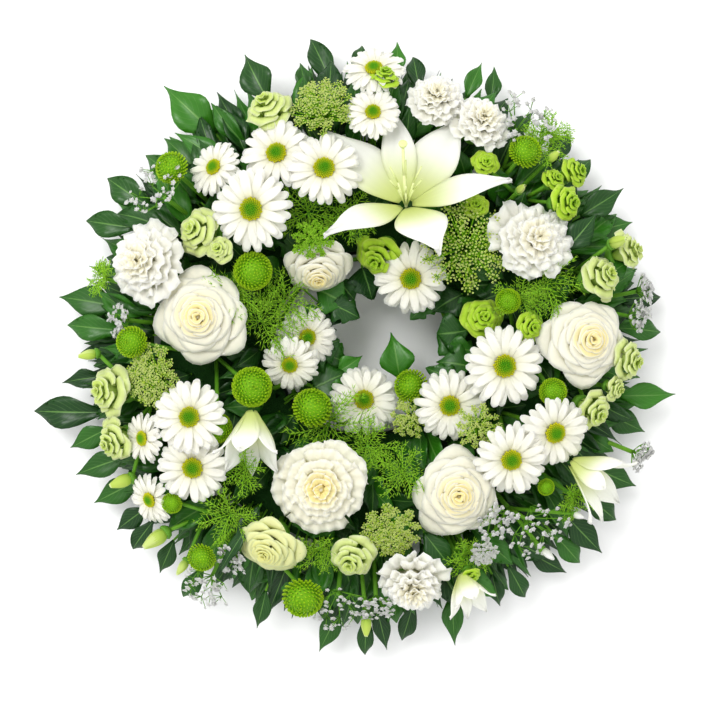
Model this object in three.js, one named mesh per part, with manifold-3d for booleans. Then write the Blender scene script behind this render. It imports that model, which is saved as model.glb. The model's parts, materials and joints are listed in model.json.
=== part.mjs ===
// A round funeral wreath of fresh flowers: a soaked foam ring in a shallow tray, with roses,
// lilies, carnations, lisianthus, spray chrysanthemums, umbels, gypsophila, fern and a collar
// of leaves. Every stem stands in its own plain hole in the foam. Millimetres, +Z up, the tray
// stands on z = 0.
import * as THREE from "three";
import { mergeVertices } from "three/addons/utils/BufferGeometryUtils.js";
import Module from "manifold-3d";

const wasm = await Module();
wasm.setup();

// Driving dimensions of the ring and of the crown of flowers on it.
const RING_RADIUS = 123;
const RING_HALF_WIDTH = 47;
const FOAM_FLOOR = 2.3;
const FOAM_TOP = 52;
const TRAY_WALL = 1.6;
const TRAY_HEIGHT = 14;
const RING_SIDES = 20;
const CROWN_RADIUS = 140;
const CROWN_HALF_WIDTH = 110;
const CROWN_BASE = 28;
const CROWN_RISE = 74;
const CROWN_TILT = 52;
const CROWN_EDGE = 0.98;
const CLEARANCE = 0.5;
const BLADE = 0.8;
const PETAL = 1.0;
const STEM_RADIUS = 2.2;
const TWIG_RADIUS = 0.8;
const STALK_ASIDE = 0.07;
const STALK_REACH = 5.6;
const STEM_FOOT = 24;
const STEM_INSET = 16;
const FORK_START = 3;
const FORK_STEP = 4;
const FORK_RISE = 7;
const PEG_CHOICES = 12;
const PEG_LENGTH = 24;
const VINE_RADIUS = 2.2;
const OUTER_VINE = RING_RADIUS + RING_HALF_WIDTH + 6;
const INNER_VINE = RING_RADIUS - RING_HALF_WIDTH - 6;
const OUTER_HEIGHTS = { vine: 26, tip: 20, root: 32 };
const INNER_HEIGHTS = { vine: 40, tip: 42, root: 46 };
const LEAF_LAYER = 8;
const LEAF_FOLD = 0.16;
const LEAF_ARCH = 1.5;
const UNDER_LEAF = { widest: 26, reach: 58, width: 27, droop: 12 };
const VINE_STEP = 0.2;
const VINE_END = 0.03;

// The plan of the wreath is a grid seen from straight above: x to the right, y downwards, a step
// of 0.8 mm at bloom height, and a little less above it and more below it, as an eye sees it.
const GRID_STEP = 0.8;
const GRID_MIDDLE = [360, 360];
const RING_MIDDLE = [364, 343];
const EYE_HEIGHT = 1800;
const BLOOM_HEIGHT = 90;

const GOLDEN_ANGLE = Math.PI * (3 - Math.sqrt(5));
const radians = (degrees) => (degrees * Math.PI) / 180;
const clamp = (value, low, high) => Math.min(high, Math.max(low, value));

function onPlan([px, py], z) {
  const step = (GRID_STEP * (EYE_HEIGHT - z)) / (EYE_HEIGHT - BLOOM_HEIGHT);
  return new THREE.Vector3(
    (px - GRID_MIDDLE[0]) * step - (RING_MIDDLE[0] - GRID_MIDDLE[0]) * GRID_STEP,
    (GRID_MIDDLE[1] - py) * step - (GRID_MIDDLE[1] - RING_MIDDLE[1]) * GRID_STEP,
    z,
  );
}

// A repeatable stream of numbers from 0 to 1.
function seeded(seed) {
  let state = seed * 2654435761;
  return () => {
    state = (Math.imul(state ^ (state >>> 15), 2246822519) + 3266489917) >>> 0;
    return state / 4294967296;
  };
}

// Solids.
function bareOf(geometry) {
  const bare = geometry.clone();
  bare.deleteAttribute("normal");
  bare.deleteAttribute("uv");
  return bare;
}

function solidOf(geometry) {
  const merged = mergeVertices(bareOf(geometry), 1e-4);
  return new wasm.Manifold(
    new wasm.Mesh({
      numProp: 3,
      vertProperties: new Float32Array(merged.attributes.position.array),
      triVerts: new Uint32Array(merged.index.array),
    }),
  );
}

function geometryOf(solid) {
  const { vertProperties, triVerts, numProp } = solid.getMesh();
  const positions = [];
  for (let i = 0; i < vertProperties.length; i += numProp) {
    positions.push(vertProperties[i], vertProperties[i + 1], vertProperties[i + 2]);
  }
  const geometry = new THREE.BufferGeometry();
  geometry.setAttribute("position", new THREE.Float32BufferAttribute(positions, 3));
  geometry.setIndex([...triVerts]);
  geometry.computeVertexNormals();
  return geometry;
}

function fromFaces(points, faces) {
  const geometry = new THREE.BufferGeometry();
  geometry.setAttribute(
    "position",
    new THREE.Float32BufferAttribute(points.flatMap((p) => [p.x, p.y, p.z]), 3),
  );
  geometry.setIndex(faces.flat());
  return geometry;
}

// A thin closed sheet: a surface, the same faces turned round below it, and a rim between them.
function sheet(points, faces, thickness) {
  const normals = points.map(() => new THREE.Vector3());
  for (const corners of faces) {
    const triangle = new THREE.Triangle(...corners.map((i) => points[i]));
    const normal = triangle.getNormal(new THREE.Vector3());
    corners.forEach((i) => normals[i].add(normal));
  }
  normals.forEach((normal) => normal.normalize());
  const half = thickness / 2;
  const above = points.map((p, i) => p.clone().addScaledVector(normals[i], half));
  const below = points.map((p, i) => p.clone().addScaledVector(normals[i], -half));
  const edges = new Map();
  for (const corners of faces) {
    corners.forEach((a, k) => edges.set(`${a} ${corners[(k + 1) % 3]}`, [a, corners[(k + 1) % 3]]));
  }
  const n = points.length;
  const rim = [...edges.values()]
    .filter(([a, b]) => !edges.has(`${b} ${a}`))
    .flatMap(([a, b]) => [
      [a, a + n, b],
      [b, a + n, b + n],
    ]);
  const under = faces.map(([a, b, c]) => [a + n, c + n, b + n]);
  return fromFaces([...above, ...below], [...faces, ...under, ...rim]);
}

// A blade through rows of points from root to tip, where a row may be a single point.
function blade(rows, thickness) {
  const faces = [];
  let start = 0;
  for (let j = 0; j + 1 < rows.length; j += 1) {
    const next = start + rows[j].length;
    for (let i = 0; i + 1 < Math.max(rows[j].length, rows[j + 1].length); i += 1) {
      if (rows[j].length === 1) faces.push([start, next + i + 1, next + i]);
      else if (rows[j + 1].length === 1) faces.push([start + i, start + i + 1, next]);
      else {
        faces.push([start + i, start + i + 1, next + i + 1]);
        faces.push([start + i, next + i + 1, next + i]);
      }
    }
    start = next;
  }
  return sheet(rows.flat(), faces, thickness);
}

// A rod of a few flat sides through a list of points, with one radius or a radius for each.
function rod(points, radius, sides) {
  const vertices = [];
  const faces = [];
  let across = new THREE.Vector3(0.31, 0.17, 1);
  points.forEach((point, j) => {
    const before = points[Math.max(0, j - 1)];
    const after = points[Math.min(points.length - 1, j + 1)];
    const along = after.clone().sub(before).normalize();
    if (j === 0 && Math.abs(along.dot(across.clone().normalize())) > 0.9) across.set(1, 0.2, 0);
    across = across.clone().addScaledVector(along, -across.dot(along)).normalize();
    const up = along.clone().cross(across);
    for (let i = 0; i < sides; i += 1) {
      const angle = (2 * Math.PI * i) / sides;
      const out = across.clone().multiplyScalar(Math.cos(angle));
      out.addScaledVector(up, Math.sin(angle)).multiplyScalar(radius[j] ?? radius);
      vertices.push(point.clone().add(out));
    }
    if (j === 0) return;
    const [lower, upper] = [(j - 1) * sides, j * sides];
    for (let i = 0; i < sides; i += 1) {
      const k = (i + 1) % sides;
      faces.push([lower + i, lower + k, upper + k], [lower + i, upper + k, upper + i]);
    }
  });
  const last = (points.length - 1) * sides;
  for (let i = 1; i + 1 < sides; i += 1) {
    faces.push([0, i + 1, i], [last, last + i, last + i + 1]);
  }
  return fromFaces(vertices, faces);
}

// The room round a three-sided stalk that no other piece may enter.
function stalkGuard(points, radius) {
  const [first, last] = [points[0], points.at(-1)];
  const start = first.clone().sub(points[1]).setLength(CLEARANCE).add(first);
  const end = last.clone().sub(points.at(-2)).setLength(CLEARANCE).add(last);
  return rod([start, ...points.slice(1, -1), end], radius + 2 * CLEARANCE, 3);
}

// A turned solid whose rings may be ruffled. Each tier is [radius, height, ruffle] in radii.
function ruffled(tiers, radius, sides) {
  const points = [];
  const faces = [];
  tiers.forEach(([r, z, ruffle], j) => {
    for (let i = 0; i < sides; i += 1) {
      const angle = (2 * Math.PI * (i + (j % 2) * 0.5)) / sides;
      const wave = ruffle * (i % 2 ? 1 : -1);
      const out = radius * (r + 0.6 * wave);
      const height = radius * (z + wave);
      points.push(new THREE.Vector3(out * Math.cos(angle), out * Math.sin(angle), height));
    }
  });
  tiers.slice(1).forEach((_, j) => {
    const [lower, upper] = [j * sides, (j + 1) * sides];
    for (let i = 0; i < sides; i += 1) {
      const k = (i + 1) % sides;
      if (j % 2) faces.push([lower + i, lower + k, upper + k], [lower + i, upper + k, upper + i]);
      else faces.push([lower + i, lower + k, upper + i], [lower + k, upper + k, upper + i]);
    }
  });
  const foot = points.push(new THREE.Vector3(0, 0, radius * (tiers[0][1] - 0.05))) - 1;
  const heart = points.push(new THREE.Vector3(0, 0, radius * (tiers.at(-1)[1] - 0.03))) - 1;
  const last = (tiers.length - 1) * sides;
  for (let i = 0; i < sides; i += 1) {
    const k = (i + 1) % sides;
    faces.push([foot, k, i], [heart, last + i, last + k]);
  }
  return fromFaces(points, faces);
}

// The room round a head that no other piece may enter: a turned solid of four rings.
const GUARD_SIDES = 6;
function headGuard(pieces) {
  const spots = pieces.flatMap((piece) => {
    const position = piece.getAttribute("position");
    return Array.from({ length: position.count }, (_, i) => [
      Math.hypot(position.getX(i), position.getY(i)),
      position.getZ(i),
    ]);
  });
  const widest = Math.max(...spots.map(([r]) => r));
  const wide = spots.filter(([r]) => r > 0.6 * widest).map(([, z]) => z);
  const [low, high] = [Math.min(...wide), Math.max(...wide)];
  const foot = Math.min(...spots.map(([, z]) => z));
  const top = Math.max(high + 0.5, ...spots.map(([, z]) => z));
  const upper = Math.max(0.3 * widest, ...spots.filter(([, z]) => z > high).map(([r]) => r));
  const grow = (r) => (r + CLEARANCE) / Math.cos(Math.PI / GUARD_SIDES);
  return ruffled(
    [
      [grow(0.3 * widest), Math.min(foot, low - 0.5) - CLEARANCE, 0],
      [grow(widest), low - CLEARANCE, 0],
      [grow(widest), high + CLEARANCE, 0],
      [grow(upper), top + CLEARANCE, 0],
    ],
    1,
    GUARD_SIDES,
  );
}

// Heads. Each is made with its rim round the origin and its face towards +Z, and gives its
// pieces, the guards round them and how far below the rim its stalk starts.
const ROSE_TIERS = [
  [0.14, -1.05, 0], [0.5, -0.82, 0], [0.92, -0.35, 0.02], [1, 0, 0.08], [0.72, -0.06, 0.02],
  [0.74, 0.16, 0.06], [0.46, 0.06, 0.02], [0.48, 0.28, 0.05], [0.2, 0.16, 0.02],
];
const CARNATION_TIERS = [
  [0.16, -0.95, 0], [0.3, -0.4, 0], [0.94, -0.14, 0.07], [0.7, 0.04, 0.03],
  [0.76, 0.22, 0.08], [0.42, 0.22, 0.03], [0.4, 0.42, 0.08],
];
const LISIANTHUS_TIERS = [
  [0.16, -0.9, 0], [0.55, -0.5, 0], [0.98, -0.1, 0.04], [0.78, 0, 0.02],
  [0.8, 0.12, 0.05], [0.5, 0.1, 0.02], [0.46, 0.22, 0.05], [0.2, 0.05, 0.02],
];
const GREEN_TIERS = [
  [0.2, -1.15, 0], [0.7, -0.85, 0], [0.96, -0.2, 0.03], [0.92, 0.1, 0.09],
  [0.54, 0.06, 0.07],
];
const BUD_TIERS = [[0.14, -0.6, 0], [0.5, -0.1, 0], [0.46, 0.5, 0], [0.2, 1.3, 0.04]];

const turned = (tiers, sides) => (across) => {
  const pieces = [ruffled(tiers, across / 2, sides)];
  return { pieces, guards: [headGuard(pieces)], depth: (-tiers[0][1] * across) / 2 };
};

// A daisy: a domed disc, then petals cut from one thin collar, and a calyx cone underneath.
const DAISY_PETALS = 10;
function daisy(across) {
  const radius = across / 2;
  const points = [];
  const faces = [];
  const place = (step, r, z) => {
    const angle = (2 * Math.PI * step) / DAISY_PETALS;
    return points.push(new THREE.Vector3(r * Math.cos(angle), r * Math.sin(angle), z)) - 1;
  };
  const heart = place(0, 0, 0.16 * radius);
  const foot = place(0, 0, -0.3 * radius);
  const discs = [];
  for (let i = 0; i < DAISY_PETALS; i += 2) discs.push(place(i + 0.5, 0.29 * radius, 0.1 * radius));
  const petals = Array.from({ length: DAISY_PETALS }, (_, i) => {
    const lift = radius * 0.05 * (i % 2 ? 1 : -1);
    return [
      [i, 0.42 * radius, -0.02 * radius],
      [i + 0.16, 0.98 * radius, lift],
      [i + 0.82, 0.98 * radius, lift],
    ].map(([step, r, z]) => [place(step, r, z), place(step, r, z - PETAL)]);
  });
  petals.forEach(([notch, left, right], i) => {
    const next = petals[(i + 1) % DAISY_PETALS][0];
    const disc = discs[Math.floor(i / 2)];
    faces.push([disc, notch[0], next[0]]);
    if (i % 2) {
      const after = discs[((i + 1) / 2) % discs.length];
      faces.push([disc, next[0], after], [heart, disc, after]);
    }
    faces.push([notch[0], left[0], next[0]], [left[0], right[0], next[0]]);
    faces.push([notch[1], next[1], left[1]], [left[1], next[1], right[1]]);
    faces.push([foot, next[1], notch[1]]);
    for (const [from, to] of [[notch, left], [left, right], [right, next]]) {
      faces.push([from[0], from[1], to[0]], [to[0], from[1], to[1]]);
    }
  });
  const pieces = [fromFaces(points, faces)];
  return { pieces, guards: [headGuard(pieces)], depth: 0.26 * radius };
}

// A ball or cushion with a floret raised on every face of its surface that looks upwards.
function florets(across, detail, flatness, raised, lowest) {
  const radius = across / 2;
  const core = mergeVertices(bareOf(new THREE.OctahedronGeometry(radius, detail)), 1e-3);
  const position = core.toNonIndexed().getAttribute("position");
  const points = [];
  const faces = [];
  for (let i = 0; i < position.count; i += 3) {
    const corners = [0, 1, 2].map((k) => new THREE.Vector3().fromBufferAttribute(position, i + k));
    const tip = corners[0].clone().add(corners[1]).add(corners[2]).setLength(radius);
    const at = points.push(...corners.map((corner) => corner.multiplyScalar(raised)), tip) - 4;
    if (tip.z < lowest * radius) faces.push([at, at + 1, at + 2]);
    else faces.push([at, at + 1, at + 3], [at + 1, at + 2, at + 3], [at + 2, at, at + 3]);
  }
  const piece = fromFaces(points, faces).scale(1, 1, flatness);
  return { pieces: [piece], guards: [headGuard([piece])], depth: 0.8 * radius * flatness };
}

// A tepal leaves the throat, opens outwards and curls back at its tip.
const TEPAL_STATIONS = [
  [0.02, 0, 0], [0.4, 0.85, 0.44], [0.78, 0.9, 0.7], [1, 0, 0.68],
];
function tepal(turn, length, width, flare, grow) {
  const rows = TEPAL_STATIONS.map(([along, wide, rise]) => {
    const r = length * (0.06 + along * Math.sin(flare));
    const z = length * (along * Math.cos(flare) * 0.35 + rise * (0.6 - 0.35 * Math.sin(flare)));
    const half = (wide * width) / 2 + (wide ? grow : 0);
    const spots = half ? [-half, 0, half] : [0];
    return spots.map((side) =>
      new THREE.Vector3(r, side, z + Math.abs(side) * 0.25).applyAxisAngle(
        new THREE.Vector3(0, 0, 1),
        turn,
      ),
    );
  });
  return blade(rows, PETAL + 2 * grow);
}

const LILY_BEARINGS = [98, 57, -1, -72, 221, 140];
const TRUMPET_BEARINGS = [45, 135, 225, 315];
const THROAT_TIERS = [[0.06, -0.3, 0], [0.11, 0, 0], [0.12, 0.1, 0]];
const STYLE_RADIUS = 1.5;
const STIGMA_RADIUS = 3.4;
const NARROW_TEPAL = 0.36;
const BROAD_TEPAL = 0.5;
function lily(length, bearings, flare, open) {
  const style = [new THREE.Vector3(0, 0, -0.2 * length), new THREE.Vector3(0, 0, 0.78 * length)];
  const whorl = (grow) =>
    bearings.map((bearing, i) => {
      const width = length * (i % 2 ? BROAD_TEPAL : NARROW_TEPAL);
      return tepal(radians(bearing), length, width, flare, grow);
    });
  const throat = ruffled(THROAT_TIERS, length, 6);
  const knob = [new THREE.Vector3(0, 0, 0.74 * length), new THREE.Vector3(0, 0, 0.8 * length)];
  const pistil = [rod(style, STYLE_RADIUS, 3), rod(knob, STIGMA_RADIUS, 5)];
  const tip = stalkGuard(knob, STIGMA_RADIUS);
  return {
    pieces: [throat, ...whorl(0), ...(open ? pistil : [])],
    guards: [headGuard([throat]), ...whorl(CLEARANCE), ...(open ? [tip] : [])],
    depth: 0.3 * length,
  };
}

// A tuft is a fan of thin twigs from one point, each ending in a tiny bloom or in nothing.
function tuft(across, count, bloomlet, seed) {
  const random = seeded(seed);
  const radius = across / 2;
  const pieces = [new THREE.OctahedronGeometry(3)];
  for (let i = 0; i < count; i += 1) {
    const angle = i * GOLDEN_ANGLE;
    const share = Math.sqrt((i + 0.5) / count);
    const reach = radius * share * (0.85 + 0.2 * random());
    const tip = new THREE.Vector3(reach * Math.cos(angle), reach * Math.sin(angle), 0);
    tip.z = radius * (0.75 - 0.4 * share);
    const bend = tip.clone().multiplyScalar(bloomlet ? 0.9 : 0.5);
    if (!bloomlet) bend.z += radius * 0.14;
    const radii = bloomlet ? [TWIG_RADIUS, bloomlet, 1] : TWIG_RADIUS;
    pieces.push(rod([new THREE.Vector3(), bend, tip], radii, 3));
  }
  return { pieces, guards: [], depth: 0 };
}

const KINDS = {
  rose: turned(ROSE_TIERS, 10),
  carnation: turned(CARNATION_TIERS, 12),
  lisianthus: turned(LISIANTHUS_TIERS, 14),
  green: (across) => turned(GREEN_TIERS, across > 30 ? 8 : 6)(across),
  bud: turned(BUD_TIERS, 5),
  daisy,
  button: (across) => florets(across, across > 23 ? 1 : 0, 1, 0.86, -0.3),
  umbel: (across) => florets(across, 2, 0.42, 0.86, 0),
  mist: (across) => florets(across, 1, 0.5, 0.8, 0),
  lily: (across) => lily(across * 0.62, LILY_BEARINGS, radians(62), true),
  trumpet: (across) => lily(across, TRUMPET_BEARINGS, radians(24), false),
  gypsophila: (across, seed) => tuft(across, 6, 2.8, seed),
  fern: (across, seed) => tuft(across, 6, 0, seed),
};

// Every head as [kind, plan x, plan y, across, tilt, towards], where tilt is how far its face
// leans from straight up and towards is the plan direction it leans to, 0 to the right and 90
// upwards. A head with no tilt follows the crown. A seventh value lifts it above the crown.
const COLOURS = {
  cream: 0xf3efdc, white: 0xf6f6f2, yellow: 0xdfe3a0, lime: 0x9cc41f, pale: 0xc6d681,
  button: 0x86b30c, umbel: 0xa5b55c, fern: 0x3f8a1e, gypsophila: 0xe9ebe3, leaf: 0x1f5a21,
};
const SPRAYS = [
  { name: "lily_open", colour: "white", heads: [["lily", 406, 204, 142, 38, 92, 2]] },
  { name: "rose_left", colour: "cream", heads: [["rose", 201, 317, 84, 8, 190]] },
  { name: "rose_right", colour: "cream", heads: [["rose", 587, 341, 78, 16, 10]] },
  { name: "rose_bottom", colour: "cream", heads: [["rose", 458, 494, 78, 8, 280]] },
  { name: "rose_upper", colour: "cream", heads: [["rose", 318, 272, 62, 48, 275]] },
  { name: "rose_yellow", colour: "yellow", heads: [["rose", 268, 548, 60, 40, 240]] },
  { name: "lisianthus_white", colour: "white", heads: [["lisianthus", 321, 487, 80, 8, 260, 4]] },
  { name: "carnation_left", colour: "white", heads: [["carnation", 143, 262, 72, 28, 170]] },
  { name: "carnation_right", colour: "white", heads: [["carnation", 534, 241, 72, 18, 30]] },
  {
    name: "carnations_top", colour: "white",
    heads: [["carnation", 436, 98, 52, 30, 80], ["carnation", 481, 122, 56, 34, 55]],
  },
  { name: "carnation_bottom", colour: "white", heads: [["carnation", 413, 585, 64, 38, 275]] },
  { name: "lily_left", colour: "white", heads: [["trumpet", 252, 412, 74, 68, 268, 4]] },
  { name: "lily_right", colour: "white", heads: [["trumpet", 572, 462, 74, 68, 325, -4]] },
  { name: "lily_bottom", colour: "white", heads: [["trumpet", 462, 574, 52, 66, 288, -4]] },
  { name: "green_top", colour: "lime", heads: [["green", 385, 76, 28, 56, 82, 6]] },
  {
    name: "daisies_upper_left", colour: "white",
    heads: [
      ["daisy", 252, 209, 67, 12, 200, 12], ["daisy", 277, 154, 60, 18, 120, 3],
      ["daisy", 324, 169, 62, 14, 80, 9], ["daisy", 215, 168, 48, 34, 150, -9],
    ],
  },
  {
    name: "daisies_right", colour: "white",
    heads: [
      ["daisy", 504, 366, 66, 8, 0, 8], ["daisy", 450, 405, 60, 10, 250, 2],
      ["daisy", 554, 432, 60, 22, 320, 6], ["daisy", 511, 459, 60, 14, 290, 9],
    ],
  },
  {
    name: "daisies_left", colour: "white",
    heads: [
      ["daisy", 190, 417, 60, 8, 170, 14], ["daisy", 193, 467, 60, 12, 250, 2],
      ["daisy", 144, 438, 44, 44, 188, -2], ["daisy", 151, 499, 44, 42, 205, -6],
    ],
  },
  {
    name: "daisies_inner", colour: "white",
    heads: [
      ["daisy", 307, 337, 50, 14, 330, 6], ["daisy", 290, 364, 48, 22, 260, 0],
      ["daisy", 364, 400, 58, 8, 80, 4],
    ],
  },
  { name: "daisy_upper", colour: "white", heads: [["daisy", 411, 278, 62, 14, 250, 4]] },
  {
    name: "daisies_top", colour: "white",
    heads: [["daisy", 373, 113, 46, 20, 90, 2], ["daisy", 374, 70, 52, 38, 95, 0]],
  },
  { name: "button_upper_left", colour: "button", heads: [["button", 172, 168, 25]] },
  {
    name: "buttons_left", colour: "button",
    heads: [
      ["button", 253, 271, 29], ["button", 252, 387, 30, 12, 0, 10], ["button", 217, 428, 23],
      ["button", 132, 342, 24],
    ],
  },
  {
    name: "buttons_inner", colour: "button",
    heads: [["button", 312, 408, 30], ["button", 411, 386, 26]],
  },
  {
    name: "buttons_lower", colour: "button",
    heads: [["button", 303, 597, 31], ["button", 202, 557, 22], ["button", 172, 503, 16]],
  },
  { name: "button_upper_right", colour: "button", heads: [["button", 525, 152, 25]] },
  { name: "green_inner", colour: "lime", heads: [["green", 378, 258, 42, 40, 235, 2]] },
  {
    name: "greens_upper_left", colour: "pale",
    heads: [["green", 197, 231, 44, 36, 165], ["green", 219, 249, 24, 20, 160, 8]],
  },
  {
    name: "greens_left", colour: "pale",
    heads: [
      ["green", 107, 391, 46, 46, 180], ["green", 112, 442, 38, 50, 205],
      ["bud", 92, 354, 18, 78, 190], ["bud", 126, 480, 22, 70, 200, -6],
    ],
  },
  { name: "green_top_left", colour: "pale", heads: [["green", 267, 107, 44, 46, 115]] },
  {
    name: "greens_right", colour: "pale",
    heads: [
      ["green", 603, 276, 42, 44, 20], ["green", 631, 251, 36, 58, 15],
      ["bud", 615, 243, 20, 40, 20, 8],
    ],
  },
  {
    name: "greens_bottom", colour: "pale",
    heads: [["green", 351, 559, 42, 34, 250], ["bud", 366, 622, 18, 80, 270, -6]],
  },
  {
    name: "greens_lower_right", colour: "pale",
    heads: [
      ["green", 595, 412, 38, 44, 330], ["green", 630, 361, 38, 58, 350],
      ["green", 617, 389, 22, 54, 340],
    ],
  },
  {
    name: "greens_inner_right", colour: "lime",
    heads: [
      ["green", 483, 318, 36, 12, 40], ["green", 531, 327, 28, 26, 350],
      ["button", 508, 301, 19], ["button", 553, 392, 21],
    ],
  },
  {
    name: "greens_upper_right", colour: "lime",
    heads: [
      ["green", 569, 203, 33, 46, 0, 4], ["green", 556, 179, 22, 40, 40],
      ["green", 577, 172, 28, 56, 20, -4], ["green", 486, 163, 24, 14, 60],
    ],
  },
  {
    name: "buds_lower_left", colour: "pale",
    heads: [
      ["bud", 160, 536, 26, 72, 215], ["bud", 184, 564, 16, 76, 235],
    ],
  },
  { name: "umbel_right", colour: "umbel", heads: [["umbel", 468, 247, 80, 6, 0, 0]] },
  { name: "umbel_top", colour: "umbel", heads: [["umbel", 322, 107, 58, 32, 100]] },
  { name: "umbel_left", colour: "umbel", heads: [["umbel", 152, 377, 54, 26, 180]] },
  { name: "umbel_bottom", colour: "umbel", heads: [["umbel", 390, 531, 50, 20, 280]] },
  {
    name: "umbels_inner", colour: "umbel",
    heads: [["mist", 411, 418, 36, 6, 270, -4], ["mist", 479, 427, 40, 8, 290, 6]],
  },
  {
    name: "fern_upper", colour: "fern",
    heads: [["mist", 312, 240, 36, 20, 270, 10], ["fern", 308, 215, 60, 10, 270]],
  },
  { name: "fern_left", colour: "fern", heads: [["fern", 264, 320, 66, 10, 0]] },
  { name: "fern_inner", colour: "fern", heads: [["fern", 330, 428, 70, 10, 300]] },
  {
    name: "fern_right", colour: "fern",
    heads: [["fern", 553, 284, 56, 20, 0], ["gypsophila", 637, 316, 30, 50, 0, -10]],
  },
  {
    name: "gypsophila_upper_left", colour: "gypsophila",
    heads: [["gypsophila", 156, 190, 56, 40, 140]],
  },
  {
    name: "gypsophila_upper_right", colour: "gypsophila",
    heads: [["gypsophila", 522, 120, 56, 30, 60], ["fern", 545, 142, 44, 46, 40]],
  },
  {
    name: "gypsophila_lower_right", colour: "gypsophila",
    heads: [
      ["gypsophila", 536, 530, 58, 40, 310], ["mist", 484, 553, 26, 30, 290],
      ["bud", 545, 552, 14, 70, 320], ["bud", 576, 515, 11, 74, 340],
    ],
  },
  {
    name: "gypsophila_lower_left", colour: "gypsophila",
    heads: [["fern", 226, 520, 50, 20, 230], ["gypsophila", 205, 588, 46, 50, 240]],
  },
  {
    name: "gypsophila_bottom", colour: "gypsophila",
    heads: [["gypsophila", 338, 608, 56, 50, 270, -8]],
  },
];

// Leaves of the collar as [tip x, tip y, root x, root y, width]. Their heights take turns in
// three layers, and a lower leaf fills the space between each two.
const COLLAR = {
  leaves_top: [
    [311, 40, 334, 88, 20], [300, 63, 306, 92, 14], [362, 46, 354, 80, 12],
    [397, 41, 396, 78, 14], [413, 57, 420, 92, 16], [482, 62, 466, 98, 15],
    [494, 66, 490, 104, 14],
  ],
  leaves_upper_left: [
    [164, 86, 216, 134, 34], [217, 92, 242, 140, 20], [245, 55, 268, 100, 28],
    [164, 138, 198, 172, 26], [107, 178, 152, 208, 24], [87, 221, 138, 228, 22],
  ],
  leaves_left: [
    [59, 297, 118, 306, 27], [67, 325, 124, 330, 22], [62, 383, 104, 376, 16],
    [34, 411, 106, 412, 27], [70, 448, 108, 428, 20], [75, 475, 126, 456, 22],
    [94, 503, 138, 480, 22], [117, 530, 146, 508, 18], [133, 549, 154, 520, 16],
  ],
  leaves_bottom: [
    [160, 573, 174, 540, 16], [183, 597, 204, 566, 16], [257, 628, 266, 590, 15],
    [319, 652, 340, 610, 18], [365, 655, 366, 612, 14],
    [387, 650, 376, 606, 15], [402, 640, 414, 600, 15], [339, 628, 328, 586, 18],
  ],
  leaves_lower_right: [
    [455, 645, 452, 592, 18], [500, 606, 492, 574, 15], [525, 597, 508, 566, 16],
    [567, 573, 528, 552, 18], [580, 563, 552, 532, 18], [602, 553, 566, 516, 22],
    [636, 486, 590, 466, 24], [616, 520, 580, 492, 20],
  ],
  leaves_right: [
    [645, 432, 604, 412, 22], [675, 394, 618, 396, 22], [660, 332, 616, 328, 18],
    [660, 297, 612, 300, 18], [633, 222, 588, 234, 22], [624, 188, 580, 216, 22],
    [568, 135, 548, 166, 18], [590, 160, 560, 190, 16],
  ],
  leaves_inner_left: [
    [342, 343, 322, 376, 24], [362, 356, 338, 372, 18], [360, 318, 332, 304, 24],
    [374, 300, 362, 268, 22],
  ],
  leaves_inner_right: [
    [391, 333, 400, 378, 29], [437, 332, 466, 362, 26], [426, 368, 456, 380, 18],
    [446, 323, 462, 300, 16],
    [410, 320, 432, 300, 18],
  ],
};

const onRing = (radius, angle, z) =>
  new THREE.Vector3(radius * Math.cos(angle), radius * Math.sin(angle), z);

function crownAt(point) {
  const r = Math.hypot(point.x, point.y);
  const share = clamp((r - CROWN_RADIUS) / CROWN_HALF_WIDTH, -CROWN_EDGE, CROWN_EDGE);
  return {
    z: CROWN_BASE + CROWN_RISE * Math.sqrt(1 - share * share),
    tilt: CROWN_TILT * Math.abs(share),
    towards: Math.atan2(point.y, point.x) + (share < 0 ? Math.PI : 0),
  };
}

// Where a head stands and which way it faces, with its stalk's start.
function placeHead([kind, px, py, across, tilt, towards, lift = 0], seed) {
  const first = crownAt(onPlan([px, py], BLOOM_HEIGHT));
  const at = onPlan([px, py], first.z + lift);
  const lean = tilt === undefined ? radians(first.tilt) : radians(tilt);
  const heading = towards === undefined ? first.towards : radians(towards);
  const face = new THREE.Vector3(
    Math.sin(lean) * Math.cos(heading),
    Math.sin(lean) * Math.sin(heading),
    Math.cos(lean),
  );
  const turn = new THREE.Quaternion().setFromUnitVectors(new THREE.Vector3(0, 0, 1), face);
  const matrix = new THREE.Matrix4().compose(at, turn, new THREE.Vector3(1, 1, 1));
  const { pieces, guards, depth } = KINDS[kind](across, seed);
  const aside = depth ? Math.min(STALK_ASIDE * across, STALK_REACH) : 0;
  const side = new THREE.Vector3(aside, 0.33 * aside, 0).applyMatrix4(matrix);
  return {
    pieces: pieces.map((piece) => piece.applyMatrix4(matrix)),
    guards: guards.map((piece) => piece.applyMatrix4(matrix)),
    heart: side.clone().addScaledVector(face, -0.5 * depth),
  };
}

// The shortest way between two straight stretches.
function stretchGap([a, b], [c, d]) {
  const [u, v, w] = [b.clone().sub(a), d.clone().sub(c), a.clone().sub(c)];
  const [uu, uv, vv, uw, vw] = [u.dot(u), u.dot(v), v.dot(v), u.dot(w), v.dot(w)];
  const flat = uu * vv - uv * uv;
  let s = flat > 1e-9 ? clamp((uv * vw - vv * uw) / flat, 0, 1) : 0;
  const t = clamp((uv * s + vw) / vv, 0, 1);
  s = clamp((uv * t - uw) / uu, 0, 1);
  return w.clone().addScaledVector(u, s).addScaledVector(v, -t).length();
}

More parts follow.
